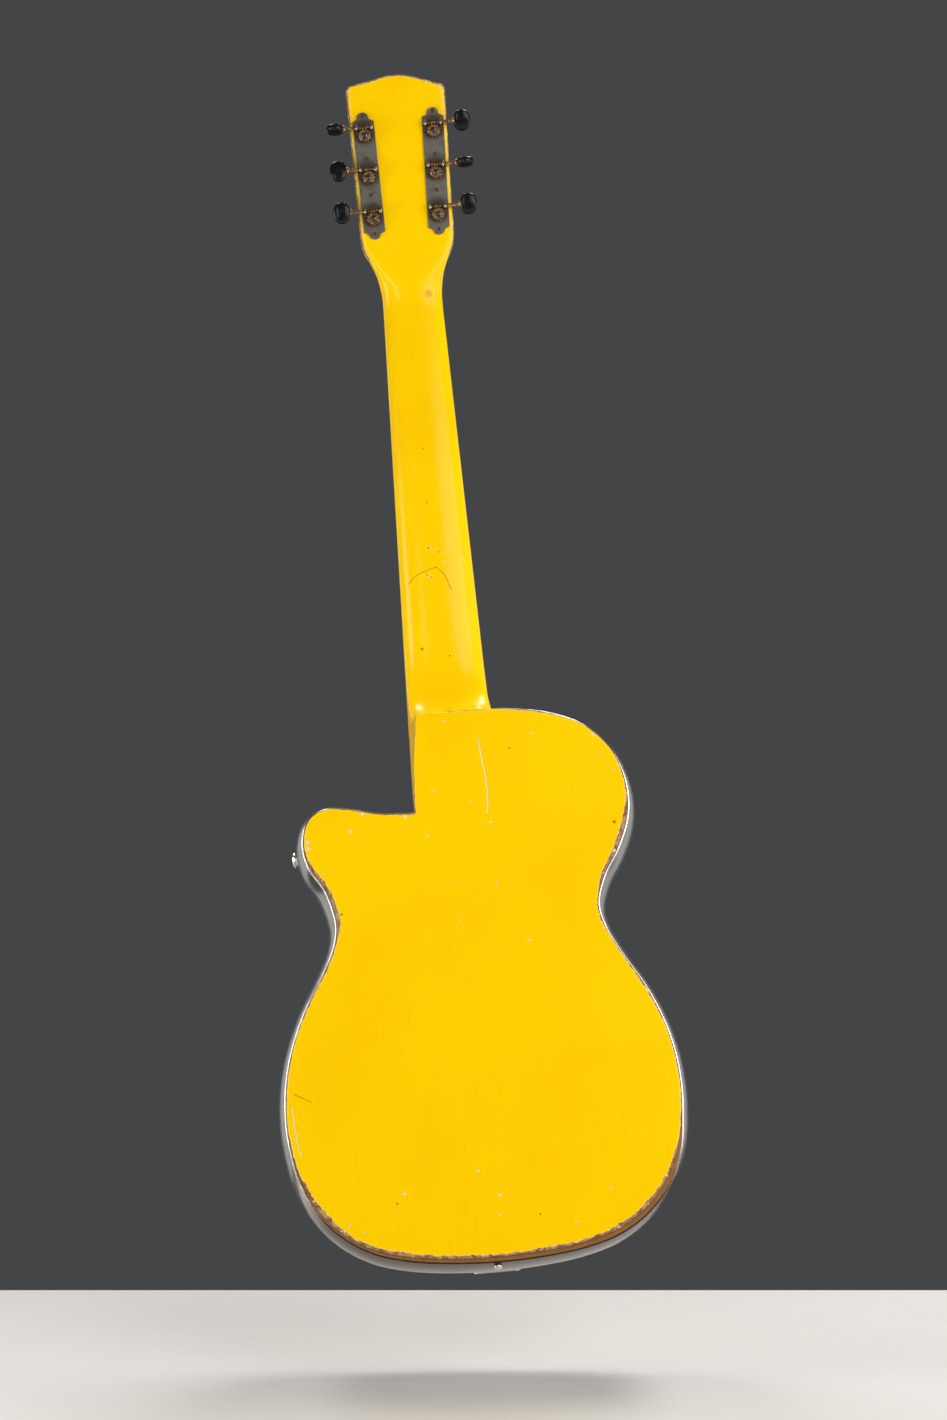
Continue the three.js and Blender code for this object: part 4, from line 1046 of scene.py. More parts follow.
def across_neck(squareness):
    """Shares of the half width and of the depth, round a section from one side to the other."""
    shares = []
    for i in range(NECK_STEPS + 1):
        angle = math.pi * i / NECK_STEPS
        across, down = math.cos(angle), math.sin(angle)
        reach = (abs(across) ** squareness + down ** squareness) ** (-1 / squareness)
        shares.append((across * reach, down * reach))
    return shares


def neck_rows():
    """Sections of the neck up to the nut: each is its back points and their front points."""
    heights = [HEEL_Z + GAP, 420.5, 420.9, 421.5, 422.3, 423.5, 425, 427, 429.5, 433, 437, 442, 448,
               455, 462, 470, 480, 500, 540, 580, 620, 660, 700, 740, 765, 780, 787]
    rows = []
    for z in heights:
        half, depth = neck_half_width(z), BODY_DEPTH - neck_back_y(z)
        heel = smooth_step(HEEL_TOP_Z + 20, HEEL_Z, z)
        flare = 2.3 * smooth_step(450, HEEL_Z, z)
        back = []
        for across, down in across_neck(2.3 + 5 * heel):
            lean = 6.2 * depth * down / BODY_DEPTH * heel if across < 0 else 0
            spread = flare if across > 0 else 0
            back.append(Vector((across * (half + spread) + lean, BODY_DEPTH - depth * down, z)))
        rows.append((back, [Vector((p.x, BODY_DEPTH, z)) for p in back], [NOT_WORN] * len(back)))
    return rows


def head_rows():
    """Sections of the headstock, the last ones bent to the crest's outline and rounded over."""
    flats = [6, 9, 12, 16, 20, 25, 30, 35, 40, 45, 50, 56, 65, 80, 100, 120, 140, 160, 172, SIDE_TOP_H]
    bent = [(share, 0.0) for share in (0.25, 0.5, 0.75)]
    over = [(1 - 0.10 * (1 - math.sin(a)), 1.1 * (1 - math.cos(a))) for a in (0, 0.4, 0.8, 1.2, QUARTER)]
    rows = []
    for h, share, lift in [(h, 0, 0) for h in flats] + [(SIDE_TOP_H, s, t) for s, t in bent + over]:
        half = head_half_width(h)
        squareness = lerp(2.4, 15, smooth_step(12, 60, h))
        back, front, edge = [], [], []
        for across, down in across_neck(squareness):
            x = across * half
            top = line_value(CREST_LINE, x, 0) if abs(x) < half else SIDE_TOP_H
            height = lerp(h, top, share)
            t = max(HEAD_THICK * (1 - down), lift)
            back.append(HEAD @ Vector((x, t, height)))
            front.append(HEAD @ Vector((x, HEAD_THICK, height)))
            clean = lerp(0.9, 2, smooth_step(0, 20, x)) - 0.7 * smooth_step(164, 178, height)
            inner = min(half - abs(x) + clean, max(top - height, 0), 9) - t
            edge.append(lerp(NOT_WORN, inner, smooth_step(22, 46, h)))
        rows.append((back, front, edge))
    return rows


def neck():
    rows = neck_rows() + head_rows()
    count = NECK_STEPS + 1
    verts, faces, edge = [], [], []
    for back, front, place in rows:
        verts += back + front
        edge += place + [NOT_WORN] * count
    for i in range(len(rows) - 1):
        a, b = i * 2 * count, (i + 1) * 2 * count
        for j in range(NECK_STEPS):
            faces.append((a + j, a + j + 1, b + j + 1, b + j))
            faces.append((a + count + j + 1, a + count + j, b + count + j, b + count + j + 1))
    for a in (0, (len(rows) - 1) * 2 * count):
        faces += [(a + j, a + j + 1, a + count + j + 1, a + count + j) for j in range(NECK_STEPS)]
    return new_piece("neck_wood", (verts, faces), NECK_PAINT, replaces=["neck"], edge=edge)


# ------------------------------------------------------------------ tuners
def on_head(x, t, h, turn=None):
    return HEAD @ at(x, t, h, turn)


def slotted_screw(radius, height, turn=0.0, slot=0.28):
    """A domed wood screw's head about z, from z 0 up, and the bar that cuts its slot."""
    dome = [(0, -1.6), (radius * 0.6, -1.6), (radius * 0.7, -0.1), (radius, 0)]
    for i in range(1, 6):
        angle = QUARTER * i / 6
        dome.append((radius * math.cos(angle), height * math.sin(angle)))
    dome.append((0, height))
    bar = placed(block(-radius * 1.2, radius * 1.2, -slot, slot, height * 0.35, height * 3),
                 Matrix.Rotation(turn, 4, "Z"))
    return lathe(dome, 28), bar


def add_screws(name, places, radius, height, material=None):
    """Slotted screw heads in one piece. places holds the matrix of each one's seat."""
    heads, bars = [], []
    for i, place in enumerate(places):
        dome, bar = slotted_screw(radius, height, turn=0.6 + i * 1.3)
        heads.append(placed(dome, place))
        bars.append(placed(bar, place))
    return carved(new_piece(name, merged(heads), material or STEEL), bars)


def tuner_plate_outline(side):
    """Straight sides, stepped shoulders and a round tab for a screw at each end, in x and h."""
    sign = SIGN[side]
    (near_x, near_h), (far_x, far_h) = POSTS["near"], POSTS["far"]

    def lean(h):
        return sign * lerp(near_x, far_x, (h - near_h) / (far_h - near_h))

    ends = []
    for base, up, reach in ((156, 1, 2.4), (61.5, -1, 1.3)):
        half_end = [(9, -1.2), (8.6, -0.2), (7.7, 0.1), (6.9, 0.2), (6.2, 0.9), (5.4, 1.1), (4.8, 1.6)]
        for i in range(1, 12):
            angle = math.pi * i / 12
            half_end.append((4.9 * math.cos(angle), reach + 4.6 * math.sin(angle)))
        half_end += [(-x, rise) for x, rise in reversed(half_end[:7])]
        ends.append([(x * up, base + rise * up) for x, rise in half_end])
    return [(lean(h) + x, h) for x, h in ends[0] + ends[1]]


def tuner_plate(side):
    """The plate with its bores, its lugs and the screws that hold it."""
    sign = SIGN[side]
    outline = tuner_plate_outline(side)
    plate = skin([[(x, t, h) for x, h in outline] for t in (PLATE_T0, PLATE_T1)])
    piece = new_piece(f"plate_{side}", placed(plate, HEAD), NICKEL,
                      replaces=[f"tuner_plate_{side}"])
    bores = []
    for x, h in POSTS.values():
        bores.append(placed(lathe([(0, -4), (POST_RADIUS + GAP, -4), (POST_RADIUS + GAP, 4), (0, 4)], 32),
                            on_head(sign * x, 0, h, TO_FRONT)))
    carved(piece, bores)
    rounded(piece, 0.28)
    lugs, holes = [], []
    for x, h in POSTS.values():
        for dx in (-LUG_X, LUG_X):
            low, high = WORM_T - 2.9, PLATE_T0 + 0.05
            shape = [(-2.9, high), (2.9, high), (2.5, WORM_T - 0.4)]
            for i in range(1, 10):
                angle = math.pi * i / 10
                shape.append((2.5 * math.cos(angle), lerp(WORM_T - 0.4, low, math.sin(angle))))
            shape.append((-2.5, WORM_T - 0.4))
            ends = [[(e, t, r) for r, t in shape] for e in (-LUG_THICK / 2, LUG_THICK / 2)]
            lugs.append(placed(skin(ends), on_head(sign * x + dx, 0, h + WORM_OFFSET)))
        bore = lathe([(0, -12), (SHAFT_RADIUS + 0.15, -12), (SHAFT_RADIUS + 0.15, 12), (0, 12)], 24)
        holes.append(placed(bore, on_head(sign * x, WORM_T, h + WORM_OFFSET, TO_BASS)))
    lug_piece = carved(new_piece(f"lugs_{side}", merged(lugs), LUG_METAL), holes)
    rounded(lug_piece, 0.22)
    seats = []
    (near_x, near_h), (far_x, far_h) = POSTS["near"], POSTS["far"]
    for h in (60.2, 93, 123.5, 159.8):
        x = lerp(near_x, far_x, (h - near_h) / (far_h - near_h))
        seats.append(on_head(sign * x, PLATE_T0, h, TO_BACK))
    add_screws(f"plate_screws_{side}", seats, 1.6, 0.55, RUST)


def worm_part(x):
    """The worm's threaded middle, its bearings and its shaft, about z from the post's side out."""
    inner, outer = -LUG_X - 1.6, BUTTON_IN - GAP - x
    root, crest = 0.95, 2.05
    end = LUG_X - LUG_THICK / 2 - GAP
    collar = 1.05
    return lathe([(0, inner), (1.1, inner), (SHAFT_RADIUS, inner + 0.4), (SHAFT_RADIUS, -end - 0.05),
                  (crest, -end), (crest, -end + collar * 0.5), (root, -end + collar), (root, end - collar),
                  (crest, end - collar * 0.5), (crest, end), (SHAFT_RADIUS, end + 0.05),
                  (SHAFT_RADIUS, LUG_X + 1.2), (1.95, LUG_X + 1.5), (1.95, LUG_X + 2.5),
                  (SHAFT_RADIUS, LUG_X + 2.8), (SHAFT_RADIUS, outer - 0.2), (1.2, outer), (0, outer)], 28)


THREAD_PITCH = 2 * math.pi * 5.3 / TEETH


def thread_part():
    """A right-handed thread about z, tapered at both ends, as a band round the worm's root."""
    reach = 4.1
    steps_per_turn = 26
    turns = 2 * reach / THREAD_PITCH
    rings = []
    count = int(turns * steps_per_turn)
    for i in range(count + 1):
        along = lerp(-reach, reach, i / count)
        angle = 2 * math.pi * along / THREAD_PITCH + QUARTER
        fade = min(1, (reach - abs(along)) / 0.7)
        high, wide = lerp(0.9, 2.02, fade), lerp(0.2, 0.62, fade)
        section = [(0.8, -wide), (high, -wide * 0.42), (high, wide * 0.42), (0.8, wide)]
        rings.append([(r * math.cos(angle), r * math.sin(angle), along + dz) for r, dz in section])
    return skin(rings)


def button_part():
    """An oval button about its shaft (z): flat on two faces, with a soft edge all round."""
    count_around, count_along = 40, 22
    half_length, half_thick, half_wide = (size / 2 for size in BUTTON_SIZE)

    def soft(value, power):
        return math.copysign(abs(value) ** power, value)

    rings = []
    for i in range(1, count_along):
        polar = math.pi * i / count_along
        ring = []
        for j in range(count_around):
            turn = 2 * math.pi * j / count_around
            thick = half_thick * soft(math.sin(polar) * math.cos(turn), 0.62)
            wide = half_wide * soft(math.sin(polar) * math.sin(turn), 0.95)
            ring.append((thick, wide, -half_length * soft(math.cos(polar), 0.85)))
        rings.append(ring)
    verts, faces = skin(rings, caps=False)
    first, last = len(verts), len(verts) + 1
    verts += [(0, 0, -half_length), (0, 0, half_length)]
    base = (len(rings) - 1) * count_around
    for j in range(count_around):
        k = (j + 1) % count_around
        faces += [(first, k, j), (base + j, base + k, last)]
    return verts, faces


def gear_part():
    """The worm wheel about z, its teeth hollowed to clear the worm."""
    half = (GEAR_T1 - GEAR_T0) / 2
    teeth = []
    for i in range(TEETH):
        middle = 2 * math.pi * i / TEETH
        for angle, tip in ((-0.150, 0), (-0.085, 1), (0.085, 1), (0.150, 0)):
            teeth.append((middle + angle, tip))
    rings = []
    for share in (-1, -0.75, -0.4, 0, 0.4, 0.75, 1):
        hollow = 0.42 * (1 - share * share)
        edge = 0.5 if abs(share) == 1 else 0
        ring = []
        for angle, tip in teeth:
            radius = (GEAR_TIP - hollow if tip else GEAR_ROOT - hollow * 0.4) - edge
            ring.append((radius * math.cos(angle), radius * math.sin(angle), half * share))
        rings.append(ring)
    return skin(rings)


def tuner(side, row):
    sign = SIGN[side]
    label = f"{side}_{row}"
    x, h = POSTS[row]
    worm_body, roller_body = f"worm_{label}", f"roller_{label}"
    outwards = TO_BASS if side == "bass" else Matrix.Rotation(-QUARTER, 4, "Y")
    shaft_place = on_head(sign * x, WORM_T, h + WORM_OFFSET, outwards)
    worm = merged([worm_part(x), thread_part()])
    new_piece(f"worm_{label}_turned", placed(worm, shaft_place), BRONZE, worm_body,
              [f"worm_shaft_{label}"], sharp=50)
    out = BUTTON_IN + BUTTON_SIZE[0] / 2 + 0.2
    turn = Matrix.Rotation(math.radians(BUTTON_TURN[side][ROWS.index(row)]), 4, "X")
    button_place = (on_head(sign * out, WORM_T, h + WORM_OFFSET) @ turn @ outwards
                    @ Matrix.Rotation(QUARTER, 4, "Z"))
    new_piece(f"button_{label}_oval", placed(button_part(), button_place), BLACK,
              worm_body, [f"button_{label}"], sharp=180)
    collar = lathe([(0, -0.9), (2.5, -0.9), (2.9, -0.4), (2.9, 0.5), (2.3, 1.3), (0, 1.3)], 30)
    collar_place = on_head(sign * (BUTTON_IN + 0.1), WORM_T, h + WORM_OFFSET, outwards)
    new_piece(f"collar_{label}", placed(collar, collar_place), BRONZE, worm_body)
    gear_place = on_head(sign * x, WORM_T, h, TO_BACK)
    new_piece(f"gear_{label}_toothed", placed(gear_part(), gear_place), BRONZE, roller_body,
              [f"gear_{label}"], sharp=30)
    dome, bar = slotted_screw(2.7, 0.9, turn=0.9 * (ROWS.index(row) + sign), slot=0.36)
    seat = on_head(sign * x, GEAR_T0, h, TO_BACK)
    screw = new_piece(f"gear_screw_{label}", placed(dome, seat), DARK_STEEL, roller_body)
    carved(screw, [placed(bar, seat)])
    post(side, row, roller_body, label)


def post(side, row, roller_body, label):
    """The string post with its cross hole, its bushing, and the string wound round it."""
    sign = SIGN[side]
    x, h = POSTS[row]
    top = HEAD_THICK + OVERLAY_THICK + GAP + 18
    waist = POST_RADIUS - 0.5
    profile = [(0, GEAR_T0), (2, GEAR_T0), (2, PLATE_T0 - 0.2), (POST_RADIUS, PLATE_T0 - 0.2),
               (POST_RADIUS, STRING_T - 3.5), (waist + 0.12, STRING_T - 2.3), (waist, STRING_T - 1),
               (waist, STRING_T + 2.4), (waist + 0.12, STRING_T + 3.8), (POST_RADIUS, STRING_T + 5),
               (POST_RADIUS, top - 0.9), (POST_RADIUS - 0.3, top - 0.3), (POST_RADIUS - 0.9, top), (0, top)]
    place = on_head(sign * x, 0, h, TO_FRONT)
    piece = new_piece(f"post_{label}_turned", placed(lathe(profile, 32), place), NICKEL,
                      roller_body, [f"post_{label}"])
    cross = lathe([(0, -5), (0.75, -5), (0.75, 5), (0, 5)], 16)
    carved(piece, [placed(cross, on_head(sign * x, STRING_T + 3.4, h, TO_BASS))])
    face = HEAD_THICK + GAP + OVERLAY_THICK + GAP
    bore = POST_RADIUS + GAP
    ring = [(bore, 9), (4.7, 9), (4.7, face), (6.3, face), (6.3, face + 0.35), (5.9, face + 0.95),
            (5.2, face + 1.2), (4.0, face + 1.2), (bore, face + 0.8)]
    new_piece(f"bushing_{label}_ring", placed(lathe(ring, 40), place), NICKEL,
              replaces=[f"bushing_{label}"])
    number = [(s, r) for _, s, r in STRINGS].index((side, row))
    radius = STRINGS[number][0]
    wound = waist + radius
    turns = 3.2 if radius > 0.35 else 4.4
    step = max(2.15 * radius, 0.5)
    path = []
    count = int(turns * 22)
    for i in range(count + 1):
        angle = 2 * math.pi * turns * i / count
        drop = STRING_T - step * turns * i / count + 1.2
        path.append((wound * math.cos(angle) * -sign, wound * math.sin(angle), drop))
    new_piece(f"winding_{number + 1}", placed(tube(path, radius, 8), place), STRING_FINISH[number],
              roller_body)


def end_pin():
    """A ball on a slim neck."""
    profile = [(0, 15), (2, 15), (2, PIN_BALL_Z + PIN_NECK + 0.5)]
    for i in range(15):
        angle = lerp(math.asin(PIN_NECK / PIN_BALL), -math.asin((PIN_REACH + PIN_BALL_Z) / PIN_BALL), i / 14)
        profile.append((PIN_BALL * math.cos(angle), PIN_BALL_Z + PIN_BALL * math.sin(angle)))
    profile.append((0, -PIN_REACH))
    new_piece("pin_ball", placed(lathe(profile, 40), at(0, PIN_Y, 0)), POLISHED,
              replaces=["end_pin"])


STUD_Y, STUD_Z, STUD_EDGE_X, STUD_RADIUS, STUD_HEIGHT = 58, 322, -122.8, 6.8, 5


def strap_stud():
    """A low round stud with a groove for the strap and a slotted screw in its face."""
    tilt = math.asin((STUD_Y - BODY_DEPTH / 2) / RIM_ARC)
    r, high = STUD_RADIUS, STUD_HEIGHT
    profile = [(0, 0), (r - 1.6, 0), (r - 2, 0.7), (r - 2, 1.4), (r - 1.2, 2.2), (r - 0.3, 2.7), (r, 3.4),
               (r - 0.25, 4.1), (r - 0.9, 4.7), (r - 1.8, high), (2.9, high), (2.5, high - 0.5),
               (0, high - 0.5)]
    base = at(STUD_EDGE_X - rim_offset(STUD_Y) - 0.5, STUD_Y, STUD_Z)
    place = base @ Matrix.Rotation(-tilt, 4, "Z") @ Matrix.Rotation(-QUARTER, 4, "Y")
    new_piece("stud_turned", placed(lathe(profile, 48), place), POLISHED,
              replaces=["strap_stud"])
    seat = place @ Matrix.Translation((0, 0, high - 0.55))
    dome, bar = slotted_screw(2.3, 0.5)
    carved(new_piece("stud_screw", placed(dome, seat), STEEL), [placed(bar, seat)])


# ------------------------------------------------------------------ resonator and its fittings
def stadium(length, half_width, steps=8):
    """A bar's outline with round ends, centred, as (along, across) pairs."""
    reach = length / 2 - half_width
    ends = []
    for sign in (1, -1):
        for i in range(steps + 1):
            angle = lerp(-QUARTER, QUARTER, i / steps)
            ends.append((sign * (reach + half_width * math.cos(angle)), sign * half_width * math.sin(angle)))
    return ends


def coverplate():
    """A domed cover with a rolled edge, pressed rings, ten groups of slots and the saddle's opening."""
    thick, shoulder = 0.8, 86.2  # the metal, and the height round the pressed ring
    outer = [(COVER_RADIUS, SEAT_Y + 0.5), (133.8, 81.1), (133.2, 81.5), (132.4, 81.6), (131.4, 81.4),
             (130.4, 81.2)]
    flange = len(outer)
    for i in range(60):
        share = i / 59
        r = lerp(127, 0, share)
        if r > 100:
            rise = lerp(shoulder, 81.3, smooth_step(100, 127, r))
        else:
            rise = lerp(COVER_CROWN_Y, shoulder, (max(r - 56, 0) / 44) ** 1.4)
        ring = 0.55 * math.exp(-((r - 116) / 1.6) ** 2) + 0.5 * math.exp(-((r - 55) / 1.3) ** 2)
        outer.append((r, rise + ring))
    inner = [(r, y - thick) for r, y in reversed(outer[flange:])]
    inner += [(130.4, SEAT_Y), (COVER_RADIUS, SEAT_Y)]
    piece = new_piece("cover_dome", placed(lathe(outer[::-1] + inner[::-1], 150), ON_CONE), POLISHED,
                      replaces=["coverplate"], sharp=45)
    tools = []
    for group in range(10):
        for spread, reach in ((-0.12, 100), (0, 108), (0.12, 100)):
            turn = (group + 0.5) / 10 * 2 * math.pi + spread
            bar = [(x + (64 + reach) / 2, y) for x, y in stadium(reach - 64, 2)]
            part = skin([[(x, y, z) for x, y in bar] for z in (70, 100)])
            tools.append(placed(part, ON_CONE @ Matrix.Rotation(turn, 4, "Z")))
    window = [(x, y * 2.6) for x, y in stadium(72, 3)]
    tools.append(placed(skin([[(x, y, z) for x, y in window] for z in (70, 100)]), ON_CONE))
    carved(piece, tools, sharp=45)
    seats = []
    for i in range(9):
        turn = 2 * math.pi * (i + 0.5) / 9
        seats.append(at(129 * math.sin(turn), 81.25, CONE_Z + 129 * math.cos(turn), TO_FRONT))
    add_screws("cover_screws", seats, 2.3, 1.0)


def bezier(p0, p1, p2, p3, steps=10):
    points = [Vector(p) for p in (p0, p1, p2, p3)]
    curve = []
    for i in range(1, steps + 1):
        t = i / steps
        weights = ((1 - t) ** 3, 3 * t * (1 - t) ** 2, 3 * t * t * (1 - t), t ** 3)
        curve.append(sum((p * w for p, w in zip(points, weights)), Vector((0, 0))))
    return curve


def palm_rest():
    """A strap over the saddle on two screwed feet."""
    foot = COVER_CROWN_Y + GAP
    foot_top, under, top = foot + 1.6, 100.4, 102.4
    half = [(66, foot), (50, foot), (50, foot_top)]
    half += bezier((50, foot_top), (46, foot_top), (46, under), (38, under))
    upper = bezier((39, top), (49, top), (49, foot + 2), (53, foot_top))
    inner = half + [(x, under) for x in (24, 8)]
    outer = [(x, top) for x in (8, 24, 39)] + upper + [(66, foot_top)]
    loop = inner + [(-x, y) for x, y in reversed(inner)] + [(-x, y) for x, y in reversed(outer)] + outer
    strips = []
    for z in (-11, -7, 0, 7, 11):
        strips.append([(x, y, SADDLE_Z + z) for x, y in loop])
    piece = new_piece("palm_strap", skin(strips), POLISHED, replaces=["palm_rest"])
    rounded(piece, 0.45, 3, angle=50)
    seats = [at(x, foot_top, SADDLE_Z + z, TO_FRONT) for x in (-60, 60) for z in (-6.2, 6.2)]
    add_screws("palm_screws", seats, 2.1, 0.95)


def screen(side):
    """A rolled ring over a woven wire cloth."""
    x = SIGN[side] * SCREEN_X
    ring = [(19.2, SEAT_Y), (25, SEAT_Y), (25, SEAT_Y + 0.7), (24.3, 81.4), (23.2, 81.8), (21.8, 82.05),
            (20.4, 81.95), (19.5, 81.5), (19.2, 81)]
    new_piece(f"screen_ring_{side}", placed(lathe(ring, 64), at(x, 0, SCREEN_Z, TO_FRONT)), POLISHED,
              replaces=[f"screen_{side}"])
    pitch, wire, reach = 1.9, 0.27, 19.6
    strands = []
    count = int(reach / pitch)
    for way in (0, 1):
        for i in range(-count, count + 1):
            offset = (i + 0.5) * pitch if way else i * pitch
            if abs(offset) > reach - 0.4:
                continue
            half = math.sqrt(reach * reach - offset * offset)
            steps = max(int(half * 4 / pitch), 4)
            path = []
            for k in range(steps + 1):
                along = lerp(-half, half, k / steps)
                phase = along / pitch + (0 if way else 0.5) + i
                y = 80.75 + 0.25 * math.cos(math.pi * phase)
                path.append((offset, y, along) if way else (along, y, offset))
            strands.append(tube(path, wire, 5))
    cloth = placed(merged(strands), at(x, 0, SCREEN_Z) @ Matrix.Rotation(QUARTER / 2, 4, "Y"))
    new_piece(f"screen_cloth_{side}", cloth, SCREEN, sharp=80)


def tailpiece():
    """A bent plate, screwed to the side below the tail, with a slotted lip that holds the strings."""
    def drop(y):
        return TAIL_EDGE_Z - rim_offset(y) - GAP

    knots = [(y, drop(y)) for y in (56, 61, 66, 71, 75)]
    knots += [(78.6, drop(75) + 1.2), (81.5, TAIL_EDGE_Z - 2), (84, 0), (85.4, 14), (85.7, 28), (85.8, 36),
              (86.3, 40), (88, 41.3), (91.6, TAIL_LIP_Z + 0.6)]
    line = smooth_curve(knots, 7)
    thick = 1.6
    rings = []
    for i, here in enumerate(line):
        before, after = line[max(i - 1, 0)], line[min(i + 1, len(line) - 1)]
        along = (after - before).normalized()
        out = Vector((along.y, -along.x)) * thick
        wide = lerp(18, 29, smooth_step(-6, 8, here.y)) if here.x > 70 else 18
        wide -= 2.5 * smooth_step(3, 0, i) + 1.2 * smooth_step(len(line) - 5, len(line) - 1, i)
        shares = [lerp(-1, 1, k / 16) for k in range(17)]
        ring = [(wide * s, here.x, here.y) for s in shares]
        ring += [(wide * s, here.x + out.x, here.y + out.y) for s in reversed(shares)]
        rings.append(ring)
    piece = new_piece("tail_plate", skin(rings), POLISHED, replaces=["tailpiece"], sharp=45)
    cuts = []
    for i, (radius, _, _) in enumerate(STRINGS):
        x, r = (i - MIDDLE_STRING) * TAIL_SPACING, radius + 0.2
        cuts.append(block(x - r, x + r, TAIL_STRING_Y - r, 96, 36, 46))
    for x in (-14, 14):
        window = [(x + a, z + 22) for z, a in stadium(19, 4.2)]
        cuts.append(skin([[(a, y, z) for a, z in window] for y in (70, 100)]))
    carved(piece, cuts, sharp=45)
    rounded(piece, 0.3, 2, angle=50)
    y = 65
    arc_tilt = math.asin((y - BODY_DEPTH / 2) / RIM_ARC)
    seats = [at(x, y, drop(y) - thick) @ Matrix.Rotation(math.pi + arc_tilt, 4, "X") for x in (-11, 11)]
    add_screws("tail_screws", seats, 2.6, 1.1)


def resonator():
    """The spun cone with its ridges and rolled rim, the biscuit and the saddle set in it."""
    outer = [(0, 79.2), (30, 79.2), (33, 79.1)]
    for i in range(1, 46):
        share = i / 45
        ridge = 0.32 * math.sin(share * math.pi * 18)
        outer.append((lerp(33, 108, share), lerp(79.1, 60.5, share) + ridge))
    outer += [(111, 58.4), (113, 57.6), (117, 57.5), (119.4, 57.9), (CONE_RADIUS, 58.1),
              (CONE_RADIUS, 57.3), (117, 57.1)]
    inner = [(r, y - 0.5) for r, y in reversed(outer[:-4])]
    new_piece("cone_spun", placed(lathe(outer + inner, 120), ON_CONE), SPUN,
              replaces=["resonator_cone"], sharp=60)
    disc = [(0, 79.3), (31, 79.3), (31.7, 79.6), (32, 80.2), (32, 84.6), (31.7, 85.4), (31, 85.8), (0, 85.8)]
    new_piece("biscuit_turned", placed(lathe(disc, 72), ON_CONE), WOOD,
              replaces=["biscuit"])
    arch = []
    for i in range(25):
        x = lerp(-31, 31, i / 24)
        arch.append((x, SADDLE_STRING_Y - 0.1 - 1.6 * abs(x / 31) ** 3))
    loop = [(-31, 85.6)] + arch + [(31, 85.6)]
    crest = []
    for z, lower in ((-2.2, 0.9), (-1.5, 0.25), (-0.6, 0), (0.6, 0), (1.5, 0.25), (2.2, 0.9)):
        crest.append([(x, y - (lower if y > 86 else 0), SADDLE_Z + z) for x, y in loop])
    new_piece("saddle_bone", skin(crest), BONE, replaces=["saddle"])
    well = [(WELL_RADIUS - 5.5, 75.9), (WELL_RADIUS - 5.5, 57), (CONE_RADIUS - 9, 57), (CONE_RADIUS - 9, 51),
            (WELL_RADIUS - 5.5, 51), (WELL_RADIUS - 5.5, 30), (WELL_RADIUS, 30), (WELL_RADIUS, 75.9)]
    new_piece("well_ring", placed(lathe(well, 120), ON_CONE), WOOD,
              replaces=["soundwell"])


# ------------------------------------------------------------------ fingerboard, nut and strings
def fret_z(number):
    return NUT_Z - SCALE_LENGTH * (1 - 2 ** (-number / 12))


def fingerboard():
    top, end = NUT_Z - 0.1, BOARD_END_Z
    heights = [end, 400, HEEL_Z, 500, 620, 720, top]
    rings = []
    for z in heights:
        half = neck_half_width(z)
        crown = [(half * s, BOARD_FACE_Y - 0.32 * s * s) for s in (1, 0.8, 0.5, 0.2, -0.2, -0.5, -0.8, -1)]
        rings.append([(-half, BODY_DEPTH + 0.02, z), (half, BODY_DEPTH + 0.02, z)]
                     + [(x, y, z) for x, y in crown])
    piece = new_piece("board", skin(rings), DARK_WOOD, replaces=["fingerboard"])
    rounded(piece, 0.5, 3, angle=45)
    wires = []
    for number in range(1, FRET_COUNT + 1):
        z = fret_z(number)
        half = neck_half_width(z) - 0.3
        ends = []
        for x, grow in ((-half, 0.35), (-half + 0.5, 0.8), (-half + 1.2, 1), (half - 1.2, 1),
                        (half - 0.5, 0.8), (half, 0.35)):
            base = BOARD_FACE_Y - 0.32 * (x / (half + 0.3)) ** 2 - 0.6
            ring = [(x, base, z - 1.05), (x, base, z + 1.05)]
            for i in range(1, 8):
                angle = math.pi * i / 8
                ring.append((x, base + 0.6 + grow * 0.95 * math.sin(angle), z + 1.05 * math.cos(angle)))
            ends.append(ring)
        wires.append(skin(ends))
    new_piece("fret_wires", merged(wires), FRET, sharp=50)
    dots = []
    disc = lathe([(0, -1), (3.1, -1), (3.1, 0.02), (2.9, 0.08), (0, 0.1)], 36)
    for number in DOTTED_FRETS:
        z = (fret_z(number) + fret_z(number - 1)) / 2
        for x in (-13, 13) if number == 12 else (0,):
            dots.append(placed(disc, at(x, BOARD_FACE_Y - 0.05 * (abs(x) > 0), z, TO_FRONT)))
    new_piece("dot_inlays", merged(dots), BONE)


def nut():
    """A bone nut, rounded towards the headstock, with a groove for each string."""
    base, top, thick = BODY_DEPTH + 0.02, NUT_STRING_Y + 0.6, 5.5
    section = [(base, 0), (top - 0.15, 0), (top, 0.2), (top, 1.6)]
    for i in range(1, 7):
        angle = QUARTER * i / 6
        section.append((top - 3.4 * (1 - math.cos(angle)), 1.6 + (thick - 1.6) * math.sin(angle)))
    section.append((base, thick))
    half = NUT_HALF_WIDTH
    ends = [[(x, y - drop, NUT_Z + z) for y, z in section]
            for x, drop in ((-half, 0.25), (-half + 0.4, 0), (half - 0.4, 0), (half, 0.25))]
    piece = new_piece("nut_bone", skin(ends), BONE, replaces=["nut"])
    grooves = []
    for i, (radius, _, _) in enumerate(STRINGS):
        path = [((i - MIDDLE_STRING) * NUT_SPACING, NUT_STRING_Y, NUT_Z + z) for z in (-4, 9)]
        grooves.append(tube(path, radius + 0.06, 12))
        x, r = path[0][0], radius + 0.06
        grooves.append(block(x - r, x + r, NUT_STRING_Y, NUT_STRING_Y + 6, NUT_Z - 4, NUT_Z + 9))
    carved(piece, grooves)


OVERLAY_FROM = 7.5  # up the headstock, where the sheet meets the nut


